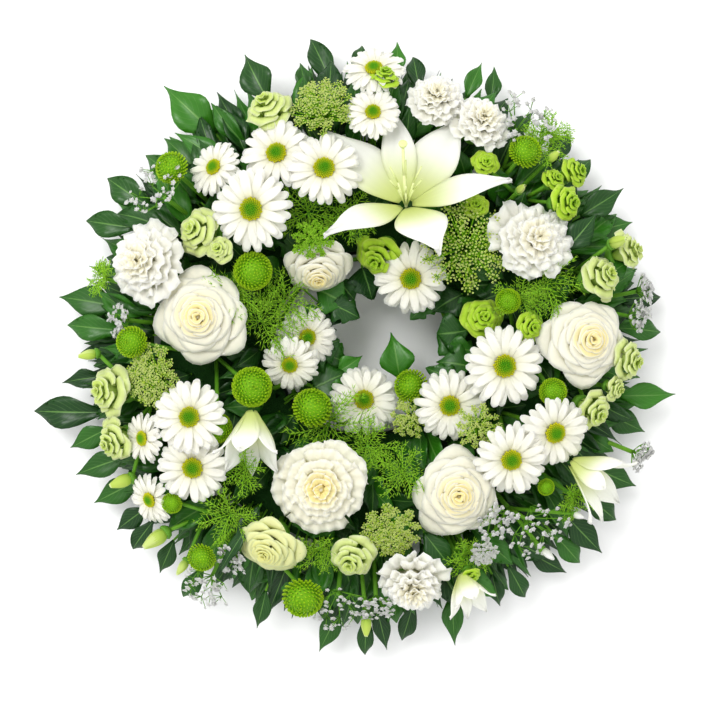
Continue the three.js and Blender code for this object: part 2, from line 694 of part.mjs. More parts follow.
// Stalks meet a little above the foam and go into it as one stem. The stem's place shifts along
// and across the ring until it and its branches stand clear of every stem before it.
const STEM_SHIFTS = [0, 3, -3, 6, -6, 9, -9, 12, -12, 16, -16, 20, -20, 26, -26, 32, -32];
const SINK_SHIFTS = [0, 8, -8, 16, -16, 26, -26];
const stretches = [];
const roomRound = (made) =>
  Math.min(99, ...made.flatMap((one) => stretches.map((other) => stretchGap(one, other))));

const forkPoint = (root, fork, k) => {
  const down = root.clone().sub(fork).setLength(FORK_START + FORK_STEP * k);
  return down.add(fork);
};
function stemsFor(hearts) {
  const middle = hearts.reduce((sum, heart) => sum.add(heart), new THREE.Vector3());
  middle.divideScalar(hearts.length);
  const inward = RING_HALF_WIDTH - STEM_INSET;
  const wantedRadius = clamp(
    Math.hypot(middle.x, middle.y), RING_RADIUS - inward, RING_RADIUS + inward,
  );
  const bearing = Math.atan2(middle.y, middle.x);
  const gap = 2 * STEM_RADIUS + 2 * CLEARANCE;
  let best;
  for (const sink of SINK_SHIFTS) {
    for (const shift of STEM_SHIFTS) {
      const radius = clamp(wantedRadius + sink, RING_RADIUS - inward, RING_RADIUS + inward);
      const angle = bearing + shift / radius;
      const root = onRing(radius, angle, STEM_FOOT);
      const fork = root.clone().lerp(middle, 0.5);
      fork.z = Math.max(fork.z, FOAM_TOP + FORK_RISE + FORK_STEP * (hearts.length - 1));
      const made = hearts.length > 1
        ? [[root, fork], ...hearts.map((heart, k) => [forkPoint(root, fork, k), heart])]
        : [[root, hearts[0]]];
      const room = roomRound(made);
      if (!best || room > best.room) best = { room, made };
      if (best.room >= gap) break;
    }
    if (best.room >= gap) break;
  }
  stretches.push(...best.made);
  return best.made;
}

function leafBlade(tip, root, vine, width, grow) {
  const along = tip.clone().sub(root);
  const side = new THREE.Vector3(along.y, -along.x, 0).setLength(width / 2 + grow);
  const rise = new THREE.Vector3(0, 0, width * LEAF_FOLD);
  const row = (share, wide, arch) => {
    const middle = root.clone().addScaledVector(along, share);
    middle.z += arch;
    const half = side.clone().multiplyScalar(wide);
    return [middle.clone().sub(half).add(rise), middle, middle.clone().add(half).add(rise)];
  };
  const rows = [[vine], row(0.3, 1, LEAF_ARCH), row(0.68, 0.72, LEAF_ARCH), [tip]];
  return blade(rows, BLADE + 2 * grow);
}

// A leaf of the lower layer: a kite that leaves the vine straight outwards and droops.
function underLeaf(angle, radius, z, grow) {
  const { widest, reach, width, droop } = UNDER_LEAF;
  const out = radius + widest;
  const half = (width / 2 + grow) / out;
  const sides = [half, -half].map((aside) => onRing(out, angle + aside, z));
  const rows = [[onRing(radius, angle, z)], sides, [onRing(radius + reach, angle, z - droop)]];
  return blade(rows, BLADE + 2 * grow);
}

function arc(radius, z, from, to, steps) {
  return Array.from({ length: steps + 1 }, (_, i) => {
    const angle = from + ((to - from) * i) / steps;
    return onRing(radius, angle, z);
  });
}

// A garland is a stretch of vine along the ring's side, pegged into the foam, with its leaves.
function garland(name, leaves) {
  const inner = name.includes("inner");
  const radius = inner ? INNER_VINE : OUTER_VINE;
  const heights = inner ? INNER_HEIGHTS : OUTER_HEIGHTS;
  const placed = leaves.map(([tx, ty, rx, ry, width], i) => {
    const layer = LEAF_LAYER * (i % 3);
    const tip = onPlan([tx, ty], heights.tip + layer);
    const root = onPlan([rx, ry], heights.root + layer);
    return { tip, root, width, bearing: Math.atan2(root.y, root.x) };
  });
  const middle = Math.atan2(
    placed.reduce((sum, leaf) => sum + Math.sin(leaf.bearing), 0),
    placed.reduce((sum, leaf) => sum + Math.cos(leaf.bearing), 0),
  );
  const turns = placed.map(({ bearing }) => {
    const away = bearing - middle;
    return Math.atan2(Math.sin(away), Math.cos(away));
  });
  const [first, last] = [middle + Math.min(...turns), middle + Math.max(...turns)];
  const [from, to] = [first - VINE_END, last + VINE_END];
  const way = arc(radius, heights.vine, from, to, Math.ceil((to - from) / VINE_STEP));
  const between = (last - first) / (turns.length - 1);
  const lower = inner ? [] : turns.slice(1).map((_, i) => first + between * (i + 0.5));
  const leafy = (grow) => [
    rod(way, VINE_RADIUS + 2 * grow, 3),
    ...placed.map(({ tip, root, width }, i) => {
      const joint = onRing(radius, middle + turns[i], heights.vine);
      return leafBlade(tip, root, joint, width, grow);
    }),
    ...lower.map((angle) => underLeaf(angle, radius, heights.vine, grow)),
  ];
  const length = inner ? PEG_LENGTH : -PEG_LENGTH;
  const choices = Array.from({ length: PEG_CHOICES }, (_, i) => {
    const angle = from + ((to - from) * (i + 0.5)) / PEG_CHOICES;
    const ends = [radius, radius + length].map((r) => onRing(r, angle, heights.vine));
    return { ends, room: roomRound([ends]) };
  });
  const { ends: peg } = choices.reduce((best, one) => (one.room > best.room ? one : best));
  stretches.push(peg);
  return { pieces: leafy(0), guards: leafy(CLEARANCE), pegs: [peg] };
}

// The ring itself.
const profileOf = (profile) => profile.map(([r, z]) => new THREE.Vector2(r, z));
function foamRing() {
  const [inside, outside] = [RING_RADIUS - RING_HALF_WIDTH, RING_RADIUS + RING_HALF_WIDTH];
  return new THREE.LatheGeometry(
    profileOf([
      [inside + 2, FOAM_FLOOR], [outside - 2, FOAM_FLOOR], [outside - 2, TRAY_HEIGHT + 20],
      [outside - 22, FOAM_TOP - 6], [RING_RADIUS, FOAM_TOP], [inside + 22, FOAM_TOP - 6],
      [inside + 2, TRAY_HEIGHT + 20], [inside + 2, FOAM_FLOOR],
    ]),
    RING_SIDES,
  ).rotateX(Math.PI / 2);
}

function baseTray() {
  const [inside, outside] = [RING_RADIUS - RING_HALF_WIDTH, RING_RADIUS + RING_HALF_WIDTH];
  const floor = FOAM_FLOOR - 0.3;
  return new THREE.LatheGeometry(
    profileOf([
      [inside, 0], [outside, 0], [outside, TRAY_HEIGHT], [outside - TRAY_WALL, TRAY_HEIGHT],
      [outside - TRAY_WALL, floor], [inside + TRAY_WALL, floor], [inside + TRAY_WALL, TRAY_HEIGHT],
      [inside, TRAY_HEIGHT], [inside, 0],
    ]),
    RING_SIDES,
  ).rotateX(Math.PI / 2);
}

// Assembly. Stems come first and are never cut. After them a head gives way to the heads before
// it in the list, and leaves give way to every head.
const material = (colour, roughness) =>
  new THREE.MeshStandardMaterial({ color: COLOURS[colour] ?? colour, roughness, metalness: 0 });

const drafts = SPRAYS.map(({ name, colour, heads }, i) => {
  const placed = heads.map((head, k) => placeHead(head, i * 7 + k + 1));
  const stems = stemsFor(placed.map((head) => head.heart));
  return {
    name,
    colour,
    stems,
    guards: placed.flatMap((head) => head.guards),
    bodies: placed.flatMap((head) => head.pieces),
  };
});
for (const [name, leaves] of Object.entries(COLLAR)) {
  const { pieces, guards, pegs } = garland(name, leaves);
  drafts.push({ name, colour: "leaf", stems: pegs, guards, bodies: pieces });
}

const reach = (solid) => {
  const { min, max } = solid.boundingBox();
  return new THREE.Box3(new THREE.Vector3(...min), new THREE.Vector3(...max));
};
const withReach = (solid) => ({ solid, box: reach(solid) });
for (const draft of drafts) {
  draft.stalks = draft.stems.map((way) => solidOf(rod(way, STEM_RADIUS, 3)));
  draft.stalkGuards = draft.stems.map((way) =>
    withReach(solidOf(stalkGuard(way, STEM_RADIUS))),
  );
  draft.headGuards = draft.guards.map((guard) => withReach(solidOf(guard)));
}

const wreath = new THREE.Group();
drafts.forEach((draft, k) => {
  const others = drafts.flatMap((other, j) => {
    if (j === k) return [];
    return [...other.stalkGuards, ...(j < k ? other.headGuards : [])];
  });
  let body = wasm.Manifold.union(draft.bodies.map(solidOf));
  const box = reach(body);
  const near = others.filter((guard) => guard.box.intersectsBox(box)).map(({ solid }) => solid);
  if (near.length) body = body.subtract(wasm.Manifold.union(near));
  const parts = wasm.Manifold.union([body, ...draft.stalks]).decompose();
  parts.sort((a, b) => b.volume() - a.volume());
  const mesh = new THREE.Mesh(geometryOf(parts[0]), material(draft.colour, 0.6));
  mesh.name = draft.name;
  wreath.add(mesh);
});

const foamBody = solidOf(foamRing());
const holes = drafts.flatMap(({ stalkGuards, headGuards }) =>
  [...stalkGuards, ...headGuards].map(({ solid }) => solid),
);
const foam = new THREE.Mesh(
  geometryOf(foamBody.subtract(wasm.Manifold.union(holes))),
  material(0x2f5c34, 0.95),
);
foam.name = "foam_ring";
const tray = new THREE.Mesh(baseTray(), material(0x1d2a1f, 0.5));
tray.name = "base_tray";
wreath.add(foam, tray);

// The wreath's own frame has its origin below the middle of its outline.
wreath.updateMatrixWorld(true);
const outline = new THREE.Box3().setFromObject(wreath, true);
const centre = outline.getCenter(new THREE.Vector3());
wreath.position.set(-centre.x, -centre.y, 0);

export default wreath;
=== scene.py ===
"""A funeral wreath of fresh white and green flowers, seen from straight above on a pale floor.

Each spray of the solid model is replaced by finer blooms at the same places. Petals, florets and
leaves are modelled once as thin closed shells, and geometry nodes set them out and fuse them.
"""

import json
import logging
import math
from dataclasses import dataclass, field
from enum import Enum
from typing import Protocol

import bpy
import numpy as np
from mathutils import Matrix, Quaternion, Vector

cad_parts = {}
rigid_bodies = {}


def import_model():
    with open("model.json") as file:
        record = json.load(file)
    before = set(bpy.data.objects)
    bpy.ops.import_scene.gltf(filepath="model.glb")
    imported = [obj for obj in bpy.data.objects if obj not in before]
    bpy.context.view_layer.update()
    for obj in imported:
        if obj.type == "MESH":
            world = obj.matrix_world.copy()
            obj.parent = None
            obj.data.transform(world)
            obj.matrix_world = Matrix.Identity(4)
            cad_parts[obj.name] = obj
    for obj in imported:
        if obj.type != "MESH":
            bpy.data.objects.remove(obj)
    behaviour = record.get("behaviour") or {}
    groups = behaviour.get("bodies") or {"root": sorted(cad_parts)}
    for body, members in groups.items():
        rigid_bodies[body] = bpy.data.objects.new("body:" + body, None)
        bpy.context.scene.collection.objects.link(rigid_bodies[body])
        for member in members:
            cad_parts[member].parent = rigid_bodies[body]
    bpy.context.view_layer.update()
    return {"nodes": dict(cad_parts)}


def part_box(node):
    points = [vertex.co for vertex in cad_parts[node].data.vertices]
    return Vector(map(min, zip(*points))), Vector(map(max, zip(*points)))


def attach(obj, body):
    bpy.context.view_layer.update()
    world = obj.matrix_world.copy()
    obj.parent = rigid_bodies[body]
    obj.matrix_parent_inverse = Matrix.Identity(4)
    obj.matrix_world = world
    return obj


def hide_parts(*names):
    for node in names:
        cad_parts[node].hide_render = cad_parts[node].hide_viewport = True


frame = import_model()
LOG = logging.getLogger("wreath")
GOLDEN_ANGLE = math.pi * (3 - math.sqrt(5))

# The plan grid of the solid model: pixels of the view from above, millimetres off the table.
GRID_STEP = 0.8
GRID_MIDDLE = (360, 360)
RING_MIDDLE = (364, 343)
EYE_HEIGHT = 1800
BLOOM_HEIGHT = 90
RING_RADIUS = 123
RING_HALF_WIDTH = 47
CROWN_RADIUS = 140
CROWN_HALF_WIDTH = 110
CROWN_BASE = 28
CROWN_RISE = 74
CROWN_TILT = 52
OUTER_SIDE = RING_RADIUS + RING_HALF_WIDTH
OUTER_VINE = OUTER_SIDE + 6
INNER_VINE = RING_RADIUS - RING_HALF_WIDTH - 6

# Radii of the stems and stalks, in millimetres.
SHARED_STEM = 2.2
STEM = 2.0
STALK = 1.8
PETIOLE = 1.1
PIN = 0.9
PEG = 1.6

# A spray's stems, in millimetres: the height of their foot in the foam, the least height of
# their fork, and how far they keep from the foam's sides.
STEM_FOOT = 24
FORK_HEIGHT = 59
STEM_INSET = 16

# Where on its axis a bloom meets its stalk, in head radii.
NECK = -0.5

# Small leaves about the hole and between the blooms: tip x, tip y, root x and root y on the plan
# grid, then width and height in mm.
INNER_FILL = (
    (345, 322, 318, 302, 26, 58), (348, 362, 318, 352, 24, 54), (330, 312, 300, 322, 24, 62),
    (352, 384, 328, 398, 22, 60), (453, 320, 478, 300, 24, 58), (446, 347, 474, 350, 24, 62),
    (441, 374, 464, 386, 22, 56), (420, 298, 444, 278, 20, 60), (355, 300, 338, 278, 22, 56),
    (376, 388, 372, 416, 22, 62), (415, 390, 428, 414, 20, 58), (388, 295, 386, 268, 20, 56),
    (322, 380, 300, 392, 24, 50), (458, 300, 484, 286, 20, 50), (336, 330, 306, 336, 24, 50),
    (350, 306, 318, 290, 34, 60), (340, 340, 306, 352, 34, 62), (346, 373, 314, 388, 34, 60),
    (437, 334, 468, 330, 34, 62), (437, 362, 470, 366, 34, 60), (433, 312, 462, 294, 30, 60),
    (372, 300, 362, 268, 28, 58), (404, 301, 412, 270, 28, 58), (352, 392, 340, 416, 28, 58),
    (436, 388, 452, 410, 28, 58),
    (219, 573, 260, 506, 12, 92), (168, 530, 219, 500, 22, 62), (455, 572, 424, 533, 22, 80),
    (596, 214, 566, 250, 22, 84), (628, 262, 600, 282, 18, 70), (196, 452, 236, 440, 18, 76),
)


class Kind(Enum):
    """The kinds of head, named as in the placement table."""

    ROSE = "rose"
    CARNATION = "carnation"
    LISIANTHUS = "lisianthus"
    GREEN = "green"
    BUD = "bud"
    DAISY = "daisy"
    BUTTON = "button"
    UMBEL = "umbel"
    MIST = "mist"
    LILY = "lily"
    TRUMPET = "trumpet"
    GYPSOPHILA = "gypsophila"
    FERN = "fern"


class Tone(Enum):
    """The colour family of a spray, as the record's material slot for its blooms."""

    CREAM = "cream_petals"
    WHITE = "white_petals"
    YELLOW = "yellow_green_petals"
    LIME = "lime_petals"
    PALE = "pale_green_petals"
    BUTTON = "green_button_florets"
    UMBEL = "umbel_florets"
    FERN = "fern_threads"
    GYPSOPHILA = "gypsophila_florets"


@dataclass(frozen=True)
class Head:
    """A bloom: its kind, place on the plan grid, size across in mm, and lean in degrees."""

    kind: Kind
    px: float
    py: float
    across: float
    tilt: float | None = None
    towards: float | None = None
    lift: float = 0.0


def heads(kind: Kind, *rows: tuple[float, ...]) -> tuple[Head, ...]:
    """Heads of one kind, each from its place, size across, tilt, heading and lift."""
    return tuple(Head(kind, *row) for row in rows)


@dataclass(frozen=True)
class Spray:
    """The heads that one node of the solid model holds."""

    node: str
    tone: Tone
    heads: tuple[Head, ...]


SPRAYS = (
    Spray("lily_open", Tone.WHITE, heads(Kind.LILY, (406, 204, 142, 38, 92, 2))),
    Spray("rose_left", Tone.CREAM, heads(Kind.ROSE, (201, 317, 84, 8, 190))),
    Spray("rose_right", Tone.CREAM, heads(Kind.ROSE, (587, 341, 78, 16, 10))),
    Spray("rose_bottom", Tone.CREAM, heads(Kind.ROSE, (458, 494, 78, 8, 280))),
    Spray("rose_upper", Tone.CREAM, heads(Kind.ROSE, (318, 272, 62, 48, 275))),
    Spray("rose_yellow", Tone.YELLOW, heads(Kind.ROSE, (268, 548, 60, 40, 240))),
    Spray("lisianthus_white", Tone.CREAM, heads(Kind.LISIANTHUS, (321, 487, 80, 8, 260, 4))),
    Spray("carnation_left", Tone.WHITE, heads(Kind.CARNATION, (143, 262, 72, 28, 170))),
    Spray("carnation_right", Tone.WHITE, heads(Kind.CARNATION, (534, 241, 72, 18, 30))),
    Spray("carnations_top", Tone.WHITE, heads(
        Kind.CARNATION, (436, 98, 52, 30, 80), (481, 122, 56, 34, 55),
    )),
    Spray("carnation_bottom", Tone.WHITE, heads(Kind.CARNATION, (413, 585, 64, 38, 275))),
    Spray("lily_left", Tone.WHITE, heads(Kind.TRUMPET, (252, 412, 74, 68, 268, 4))),
    Spray("lily_right", Tone.WHITE, heads(Kind.TRUMPET, (572, 462, 74, 68, 325, -4))),
    Spray("lily_bottom", Tone.WHITE, heads(Kind.TRUMPET, (462, 574, 52, 66, 288, -4))),
    Spray("green_top", Tone.LIME, heads(Kind.GREEN, (385, 76, 28, 56, 82, 6))),
    Spray("daisies_upper_left", Tone.WHITE, heads(
        Kind.DAISY, (252, 209, 67, 12, 200, 12), (277, 154, 60, 18, 120, 3),
        (324, 169, 62, 14, 80, 9), (215, 168, 48, 34, 150, -9),
    )),
    Spray("daisies_right", Tone.WHITE, heads(
        Kind.DAISY, (504, 366, 66, 8, 0, 8), (450, 405, 60, 10, 250, 2),
        (554, 432, 60, 22, 320, 6), (511, 459, 60, 14, 290, 9),
    )),
    Spray("daisies_left", Tone.WHITE, heads(
        Kind.DAISY, (190, 417, 60, 8, 170, 14), (193, 467, 60, 12, 250, 2),
        (144, 438, 44, 44, 188, -2), (151, 499, 44, 42, 205, -6),
    )),
    Spray("daisies_inner", Tone.WHITE, heads(
        Kind.DAISY, (307, 337, 50, 14, 330, 6), (290, 364, 48, 22, 260, 0),
        (364, 400, 58, 8, 80, 4),
    )),
    Spray("daisy_upper", Tone.WHITE, heads(Kind.DAISY, (411, 278, 62, 14, 250, 4))),
    Spray("daisies_top", Tone.WHITE, heads(
        Kind.DAISY, (373, 113, 46, 20, 90, 2), (374, 70, 52, 38, 95, 0),
    )),
    Spray("button_upper_left", Tone.BUTTON, heads(Kind.BUTTON, (172, 168, 25))),
    Spray("buttons_left", Tone.BUTTON, heads(
        Kind.BUTTON, (253, 271, 29), (252, 387, 30, 12, 0, 10), (217, 428, 23), (132, 342, 24),
    )),
    Spray("buttons_inner", Tone.BUTTON, heads(Kind.BUTTON, (312, 408, 30), (411, 386, 26))),
    Spray("buttons_lower", Tone.BUTTON, heads(
        Kind.BUTTON, (303, 597, 31), (202, 557, 22), (172, 503, 16),
    )),
    Spray("button_upper_right", Tone.BUTTON, heads(Kind.BUTTON, (525, 152, 25))),
    Spray("green_inner", Tone.LIME, heads(Kind.GREEN, (378, 258, 42, 40, 235, 2))),
    Spray("greens_upper_left", Tone.PALE, heads(
        Kind.GREEN, (197, 231, 44, 36, 165), (219, 249, 24, 20, 160, 8),
    )),
    Spray("greens_left", Tone.PALE, (
        heads(Kind.GREEN, (107, 391, 46, 46, 180), (112, 442, 38, 50, 205))
        + heads(Kind.BUD, (92, 354, 18, 78, 190), (126, 480, 22, 70, 200, -6))
    )),
    Spray("green_top_left", Tone.PALE, heads(Kind.GREEN, (267, 107, 44, 46, 115))),
    Spray("greens_right", Tone.PALE, (
        heads(Kind.GREEN, (603, 276, 42, 44, 20), (631, 251, 36, 58, 15))
        + heads(Kind.BUD, (615, 243, 20, 40, 20, 8))
    )),
    Spray("greens_bottom", Tone.PALE, (
        heads(Kind.GREEN, (351, 559, 42, 34, 250))
        + heads(Kind.BUD, (366, 622, 18, 80, 270, -6))
    )),
    Spray("greens_lower_right", Tone.PALE, heads(
        Kind.GREEN, (595, 412, 38, 44, 330), (630, 361, 38, 58, 350), (617, 389, 22, 54, 340),
    )),
    Spray("greens_inner_right", Tone.LIME, (
        heads(Kind.GREEN, (483, 318, 36, 12, 40), (531, 327, 28, 26, 350))
        + heads(Kind.BUTTON, (508, 301, 19), (553, 392, 21))
    )),
    Spray("greens_upper_right", Tone.LIME, heads(
        Kind.GREEN, (569, 203, 33, 46, 0, 4), (556, 179, 22, 40, 40),
        (577, 172, 28, 56, 20, -4), (486, 163, 24, 14, 60),
    )),
    Spray("buds_lower_left", Tone.PALE, heads(
        Kind.BUD, (160, 536, 26, 72, 215), (184, 564, 16, 76, 235),
    )),
    Spray("umbel_right", Tone.UMBEL, heads(Kind.UMBEL, (468, 247, 80, 6, 0, 0))),
    Spray("umbel_top", Tone.UMBEL, heads(Kind.UMBEL, (322, 107, 58, 32, 100))),
    Spray("umbel_left", Tone.UMBEL, heads(Kind.UMBEL, (152, 377, 54, 26, 180))),
    Spray("umbel_bottom", Tone.UMBEL, heads(Kind.UMBEL, (390, 531, 50, 20, 280))),
    Spray("umbels_inner", Tone.UMBEL, heads(
        Kind.MIST, (411, 418, 36, 6, 270, -4), (479, 427, 40, 8, 290, 6),
    )),
    Spray("fern_upper", Tone.FERN, (
        heads(Kind.MIST, (312, 240, 36, 20, 270, 10))
        + heads(Kind.FERN, (308, 215, 60, 10, 270))
    )),
    Spray("fern_left", Tone.FERN, heads(Kind.FERN, (264, 320, 66, 10, 0))),
    Spray("fern_inner", Tone.FERN, heads(Kind.FERN, (330, 428, 70, 10, 300))),
    Spray("fern_right", Tone.FERN, (
        heads(Kind.FERN, (553, 284, 56, 20, 0))
        + heads(Kind.GYPSOPHILA, (637, 316, 30, 50, 0, -10))
    )),
    Spray("gypsophila_upper_left", Tone.GYPSOPHILA, heads(
        Kind.GYPSOPHILA, (156, 190, 56, 40, 140),
    )),
    Spray("gypsophila_upper_right", Tone.GYPSOPHILA, (
        heads(Kind.GYPSOPHILA, (522, 120, 56, 30, 60))
        + heads(Kind.FERN, (545, 142, 44, 46, 40))
    )),
    Spray("gypsophila_lower_right", Tone.GYPSOPHILA, (
        heads(Kind.GYPSOPHILA, (536, 530, 58, 40, 310))
        + heads(Kind.MIST, (484, 553, 26, 30, 290))
        + heads(Kind.BUD, (545, 552, 14, 70, 320), (576, 515, 11, 74, 340))
    )),
    Spray("gypsophila_lower_left", Tone.GYPSOPHILA, (
        heads(Kind.FERN, (226, 520, 50, 20, 230))
        + heads(Kind.GYPSOPHILA, (205, 588, 46, 50, 240))
    )),
    Spray("gypsophila_bottom", Tone.GYPSOPHILA, heads(
        Kind.GYPSOPHILA, (338, 608, 56, 50, 270, -8),
    )),
)

# Small heads beside the ones that the solid model holds.
EXTRAS = (
    Spray("extra_ferns", Tone.FERN, heads(
        Kind.FERN, (369, 445, 44, 10, 60, 4), (236, 292, 50, 14, 60, 2),
        (320, 556, 40, 30, 270, -6), (556, 128, 36, 46, 40, -6), (98, 276, 34, 60, 160, -4),
        (350, 215, 46, 10, 270, -6), (402, 470, 46, 10, 90, 2), (524, 296, 44, 10, 40, 0),
        (240, 470, 44, 20, 200, -2), (285, 300, 54, 8, 30, 0), (470, 560, 40, 34, 290, -4),
        (580, 500, 38, 44, 330, -6),
    )),
    Spray("extra_gypsophila", Tone.GYPSOPHILA, heads(
        Kind.GYPSOPHILA, (120, 320, 30, 50, 180, -4), (640, 456, 28, 56, 330, -8),
        (376, 606, 34, 50, 270, -6), (232, 560, 30, 44, 230, -4), (496, 520, 36, 30, 300, 2),
        (645, 290, 26, 60, 10, -8),
    )),
    Spray("extra_buds", Tone.PALE, heads(
        Kind.BUD, (551, 158, 15, 50, 40, 2), (520, 190, 14, 30, 40, -2),
    )),
    Spray("extra_buttons", Tone.LIME, (
        heads(Kind.BUTTON, (546, 487, 13))
        + heads(Kind.GREEN, (470, 578, 20, 44, 290, 0), (476, 205, 22, 14, 90, -2))
    )),
)

# Leaves: tip x, tip y, root x, root y on the plan grid, and width in mm.
COLLAR = {
    "leaves_top": (
        (311, 40, 334, 88, 20), (300, 63, 306, 92, 14), (362, 46, 354, 80, 12),
        (397, 41, 396, 78, 14), (413, 57, 420, 92, 16), (482, 62, 466, 98, 15),
        (494, 66, 490, 104, 14),
    ),
    "leaves_upper_left": (
        (164, 86, 216, 134, 34), (217, 92, 242, 140, 20), (245, 55, 268, 100, 28),
        (164, 138, 198, 172, 26), (107, 178, 152, 208, 24), (87, 221, 138, 228, 22),
    ),
    "leaves_left": (
        (59, 297, 118, 306, 27), (67, 325, 124, 330, 22), (62, 383, 104, 376, 16),
        (34, 411, 106, 412, 27), (70, 448, 108, 428, 20), (75, 475, 126, 456, 22),
        (94, 503, 138, 480, 22), (117, 530, 146, 508, 18), (133, 549, 154, 520, 16),
    ),
    "leaves_bottom": (
        (160, 573, 174, 540, 16), (183, 597, 204, 566, 16), (257, 628, 266, 590, 15),
        (319, 652, 340, 610, 18), (365, 655, 366, 612, 14), (387, 650, 376, 606, 15),
        (402, 640, 414, 600, 15), (339, 628, 328, 586, 18),
    ),
    "leaves_lower_right": (
        (455, 645, 452, 592, 18), (500, 606, 492, 574, 15), (525, 597, 508, 566, 16),
        (567, 573, 528, 552, 18), (580, 563, 552, 532, 18), (602, 553, 566, 516, 22),
        (636, 486, 590, 466, 24), (616, 520, 580, 492, 20),
    ),
    "leaves_right": (
        (645, 432, 604, 412, 22), (675, 394, 618, 396, 22), (660, 332, 616, 328, 18),
        (660, 297, 612, 300, 18), (633, 222, 588, 234, 22), (624, 188, 580, 216, 22),
        (568, 135, 548, 166, 18), (590, 160, 560, 190, 16),
    ),
    "leaves_inner_left": (
        (342, 343, 322, 376, 24), (362, 356, 338, 372, 18), (360, 318, 332, 304, 24),
        (374, 300, 362, 268, 22),
    ),
    "leaves_inner_right": (
        (391, 333, 400, 378, 29), (437, 332, 466, 362, 26), (426, 368, 456, 380, 18),
        (446, 323, 462, 300, 16), (410, 320, 432, 300, 18),
    ),
}


# Shapes: each is a closed thin shell or rod, about one unit in size, with its own UVs.

NOTCH_POWER = 6
SWAY_WAVES = 7
TINIEST = 1e-9


def smooth(points: list[tuple[float, ...]], at: np.ndarray) -> np.ndarray:
    """A smooth curve through evenly spaced points.

    Args:
        points: The points to pass through, two or more.
        at: Places along the curve from 0 to 1.

    Returns:
        The curve's points, with the coordinates on the last axis.
    """
    knots = np.array([points[0], *points, points[-1]], float)
    spans = len(points) - 1
    place = np.clip(at, 0, 1) * spans
    first = np.minimum(place.astype(int), spans - 1)
    t = (place - first)[..., None]
    a, b, c, d = (knots[first + k] for k in range(4))
    return 0.5 * (
        2 * b + (c - a) * t + (2 * a - 5 * b + 4 * c - d) * t**2 + (3 * b - a - 3 * c + d) * t**3
    )


@dataclass(frozen=True)
class Petal:
    """A petal from its root to its rim, in radii of its head.

    The profile is a line of (distance from the axis, height). With wrap, half is the angle in
    radians that the petal covers to each side, and without it half is its half width.
    """

    profile: tuple[tuple[float, float], ...]
    half: float
    wrap: bool = True
    rows: int = 9
    cols: int = 9
    rounding: float = 0.18
    crest: float = 2.4
    teeth: float = 0.0
    serration: float = 3.0
    cup: float = 0.0
    ruffle: float = 0.0
    waves: float = 3.0
    frill: float = 2.0
    phase: float = 0.0
    twist: float = 0.0
    widths: tuple[float, ...] = (0.35, 0.75, 0.95, 1.0, 1.0)
    shell: float = 0.012

    def grid(self) -> np.ndarray:
        """The petal's middle surface.

        Returns:
            Rows of points from root to rim.
        """
        along = np.linspace(0, 1, self.rows)[:, None]
        across = np.linspace(-1, 1, self.cols)[None, :]
        notch = self.teeth * np.abs(np.sin(across * math.pi * self.serration)) * along**NOTCH_POWER
        place = along * (1 - self.rounding * np.abs(across) ** self.crest - notch)
        line = smooth(list(self.profile), place)
        wide = smooth([(w,) for w in self.widths], along)[..., 0] * self.half
        reach, height = line[..., 0], line[..., 1]
        wave = np.sin(across * math.pi * self.waves + self.phase + self.twist * along)
        height = height + self.ruffle * along**self.frill * wave + self.cup * across**2 * along
        sway = np.cos(across * SWAY_WAVES + self.phase)
        reach = reach + 0.5 * self.ruffle * along**self.frill * sway
        side = across * wide
        if self.wrap:
            return np.stack([reach * np.cos(side), reach * np.sin(side), height], -1)
        return np.stack([reach, side + 0 * reach, height], -1)

    def mesh(self, name: str) -> bpy.types.Mesh:
        """The petal as a closed shell."""
        return shell_mesh(name, self.grid(), self.shell)


def make_mesh(name: str, points: np.ndarray, faces: list, uvs: np.ndarray) -> bpy.types.Mesh:
    """A smooth mesh with a UV for each vertex.

    Args:
        name: The mesh's name.
        points: Vertices, one row each.
        faces: Faces as lists of vertex numbers.
        uvs: One pair for each vertex.

    Returns:
        The mesh.
    """
    mesh = bpy.data.meshes.new(name)
    mesh.from_pydata(points.tolist(), [], faces)
    layer = mesh.uv_layers.new(name="UVMap")
    corners = np.empty(len(mesh.loops), np.int32)
    mesh.loops.foreach_get("vertex_index", corners)
    layer.data.foreach_set("uv", uvs[corners].astype(np.float32).ravel())
    mesh.polygons.foreach_set("use_smooth", [True] * len(mesh.polygons))
    return mesh


def shell_mesh(name: str, grid: np.ndarray, thickness: float) -> bpy.types.Mesh:
    """A closed shell round a grid of points.

    Args:
        name: The mesh's name.
        grid: Points as rows from root to tip and columns across.
        thickness: The shell's thickness.

    Returns:
        The mesh, with u across and v along the grid.
    """
    rows, cols = grid.shape[:2]
    normal = np.cross(np.gradient(grid, axis=0), np.gradient(grid, axis=1))
    normal /= np.maximum(np.linalg.norm(normal, axis=-1, keepdims=True), TINIEST)
    top = (grid + normal * thickness / 2).reshape(-1, 3)
    under = (grid - normal * thickness / 2).reshape(-1, 3)
    index = np.arange(rows * cols).reshape(rows, cols)
    a, b, c, d = index[:-1, :-1], index[1:, :-1], index[1:, 1:], index[:-1, 1:]
    quads = np.stack([a, b, c, d], -1).reshape(-1, 4)
    count = rows * cols
    loop = [*index[:, 0], *index[-1, 1:], *index[-2::-1, -1], *index[0, -2:0:-1]]
    rim = [[p, p + count, q + count, q] for p, q in zip(loop, loop[1:] + loop[:1])]
    faces = [*quads.tolist(), *(quads[:, ::-1] + count).tolist(), *[list(map(int, f)) for f in rim]]
    v, u = np.meshgrid(np.linspace(0, 1, rows), np.linspace(0, 1, cols), indexing="ij")
    uv = np.stack([u, v], -1).reshape(-1, 2)
    return make_mesh(name, np.concatenate([top, under]), faces, np.concatenate([uv, uv]))


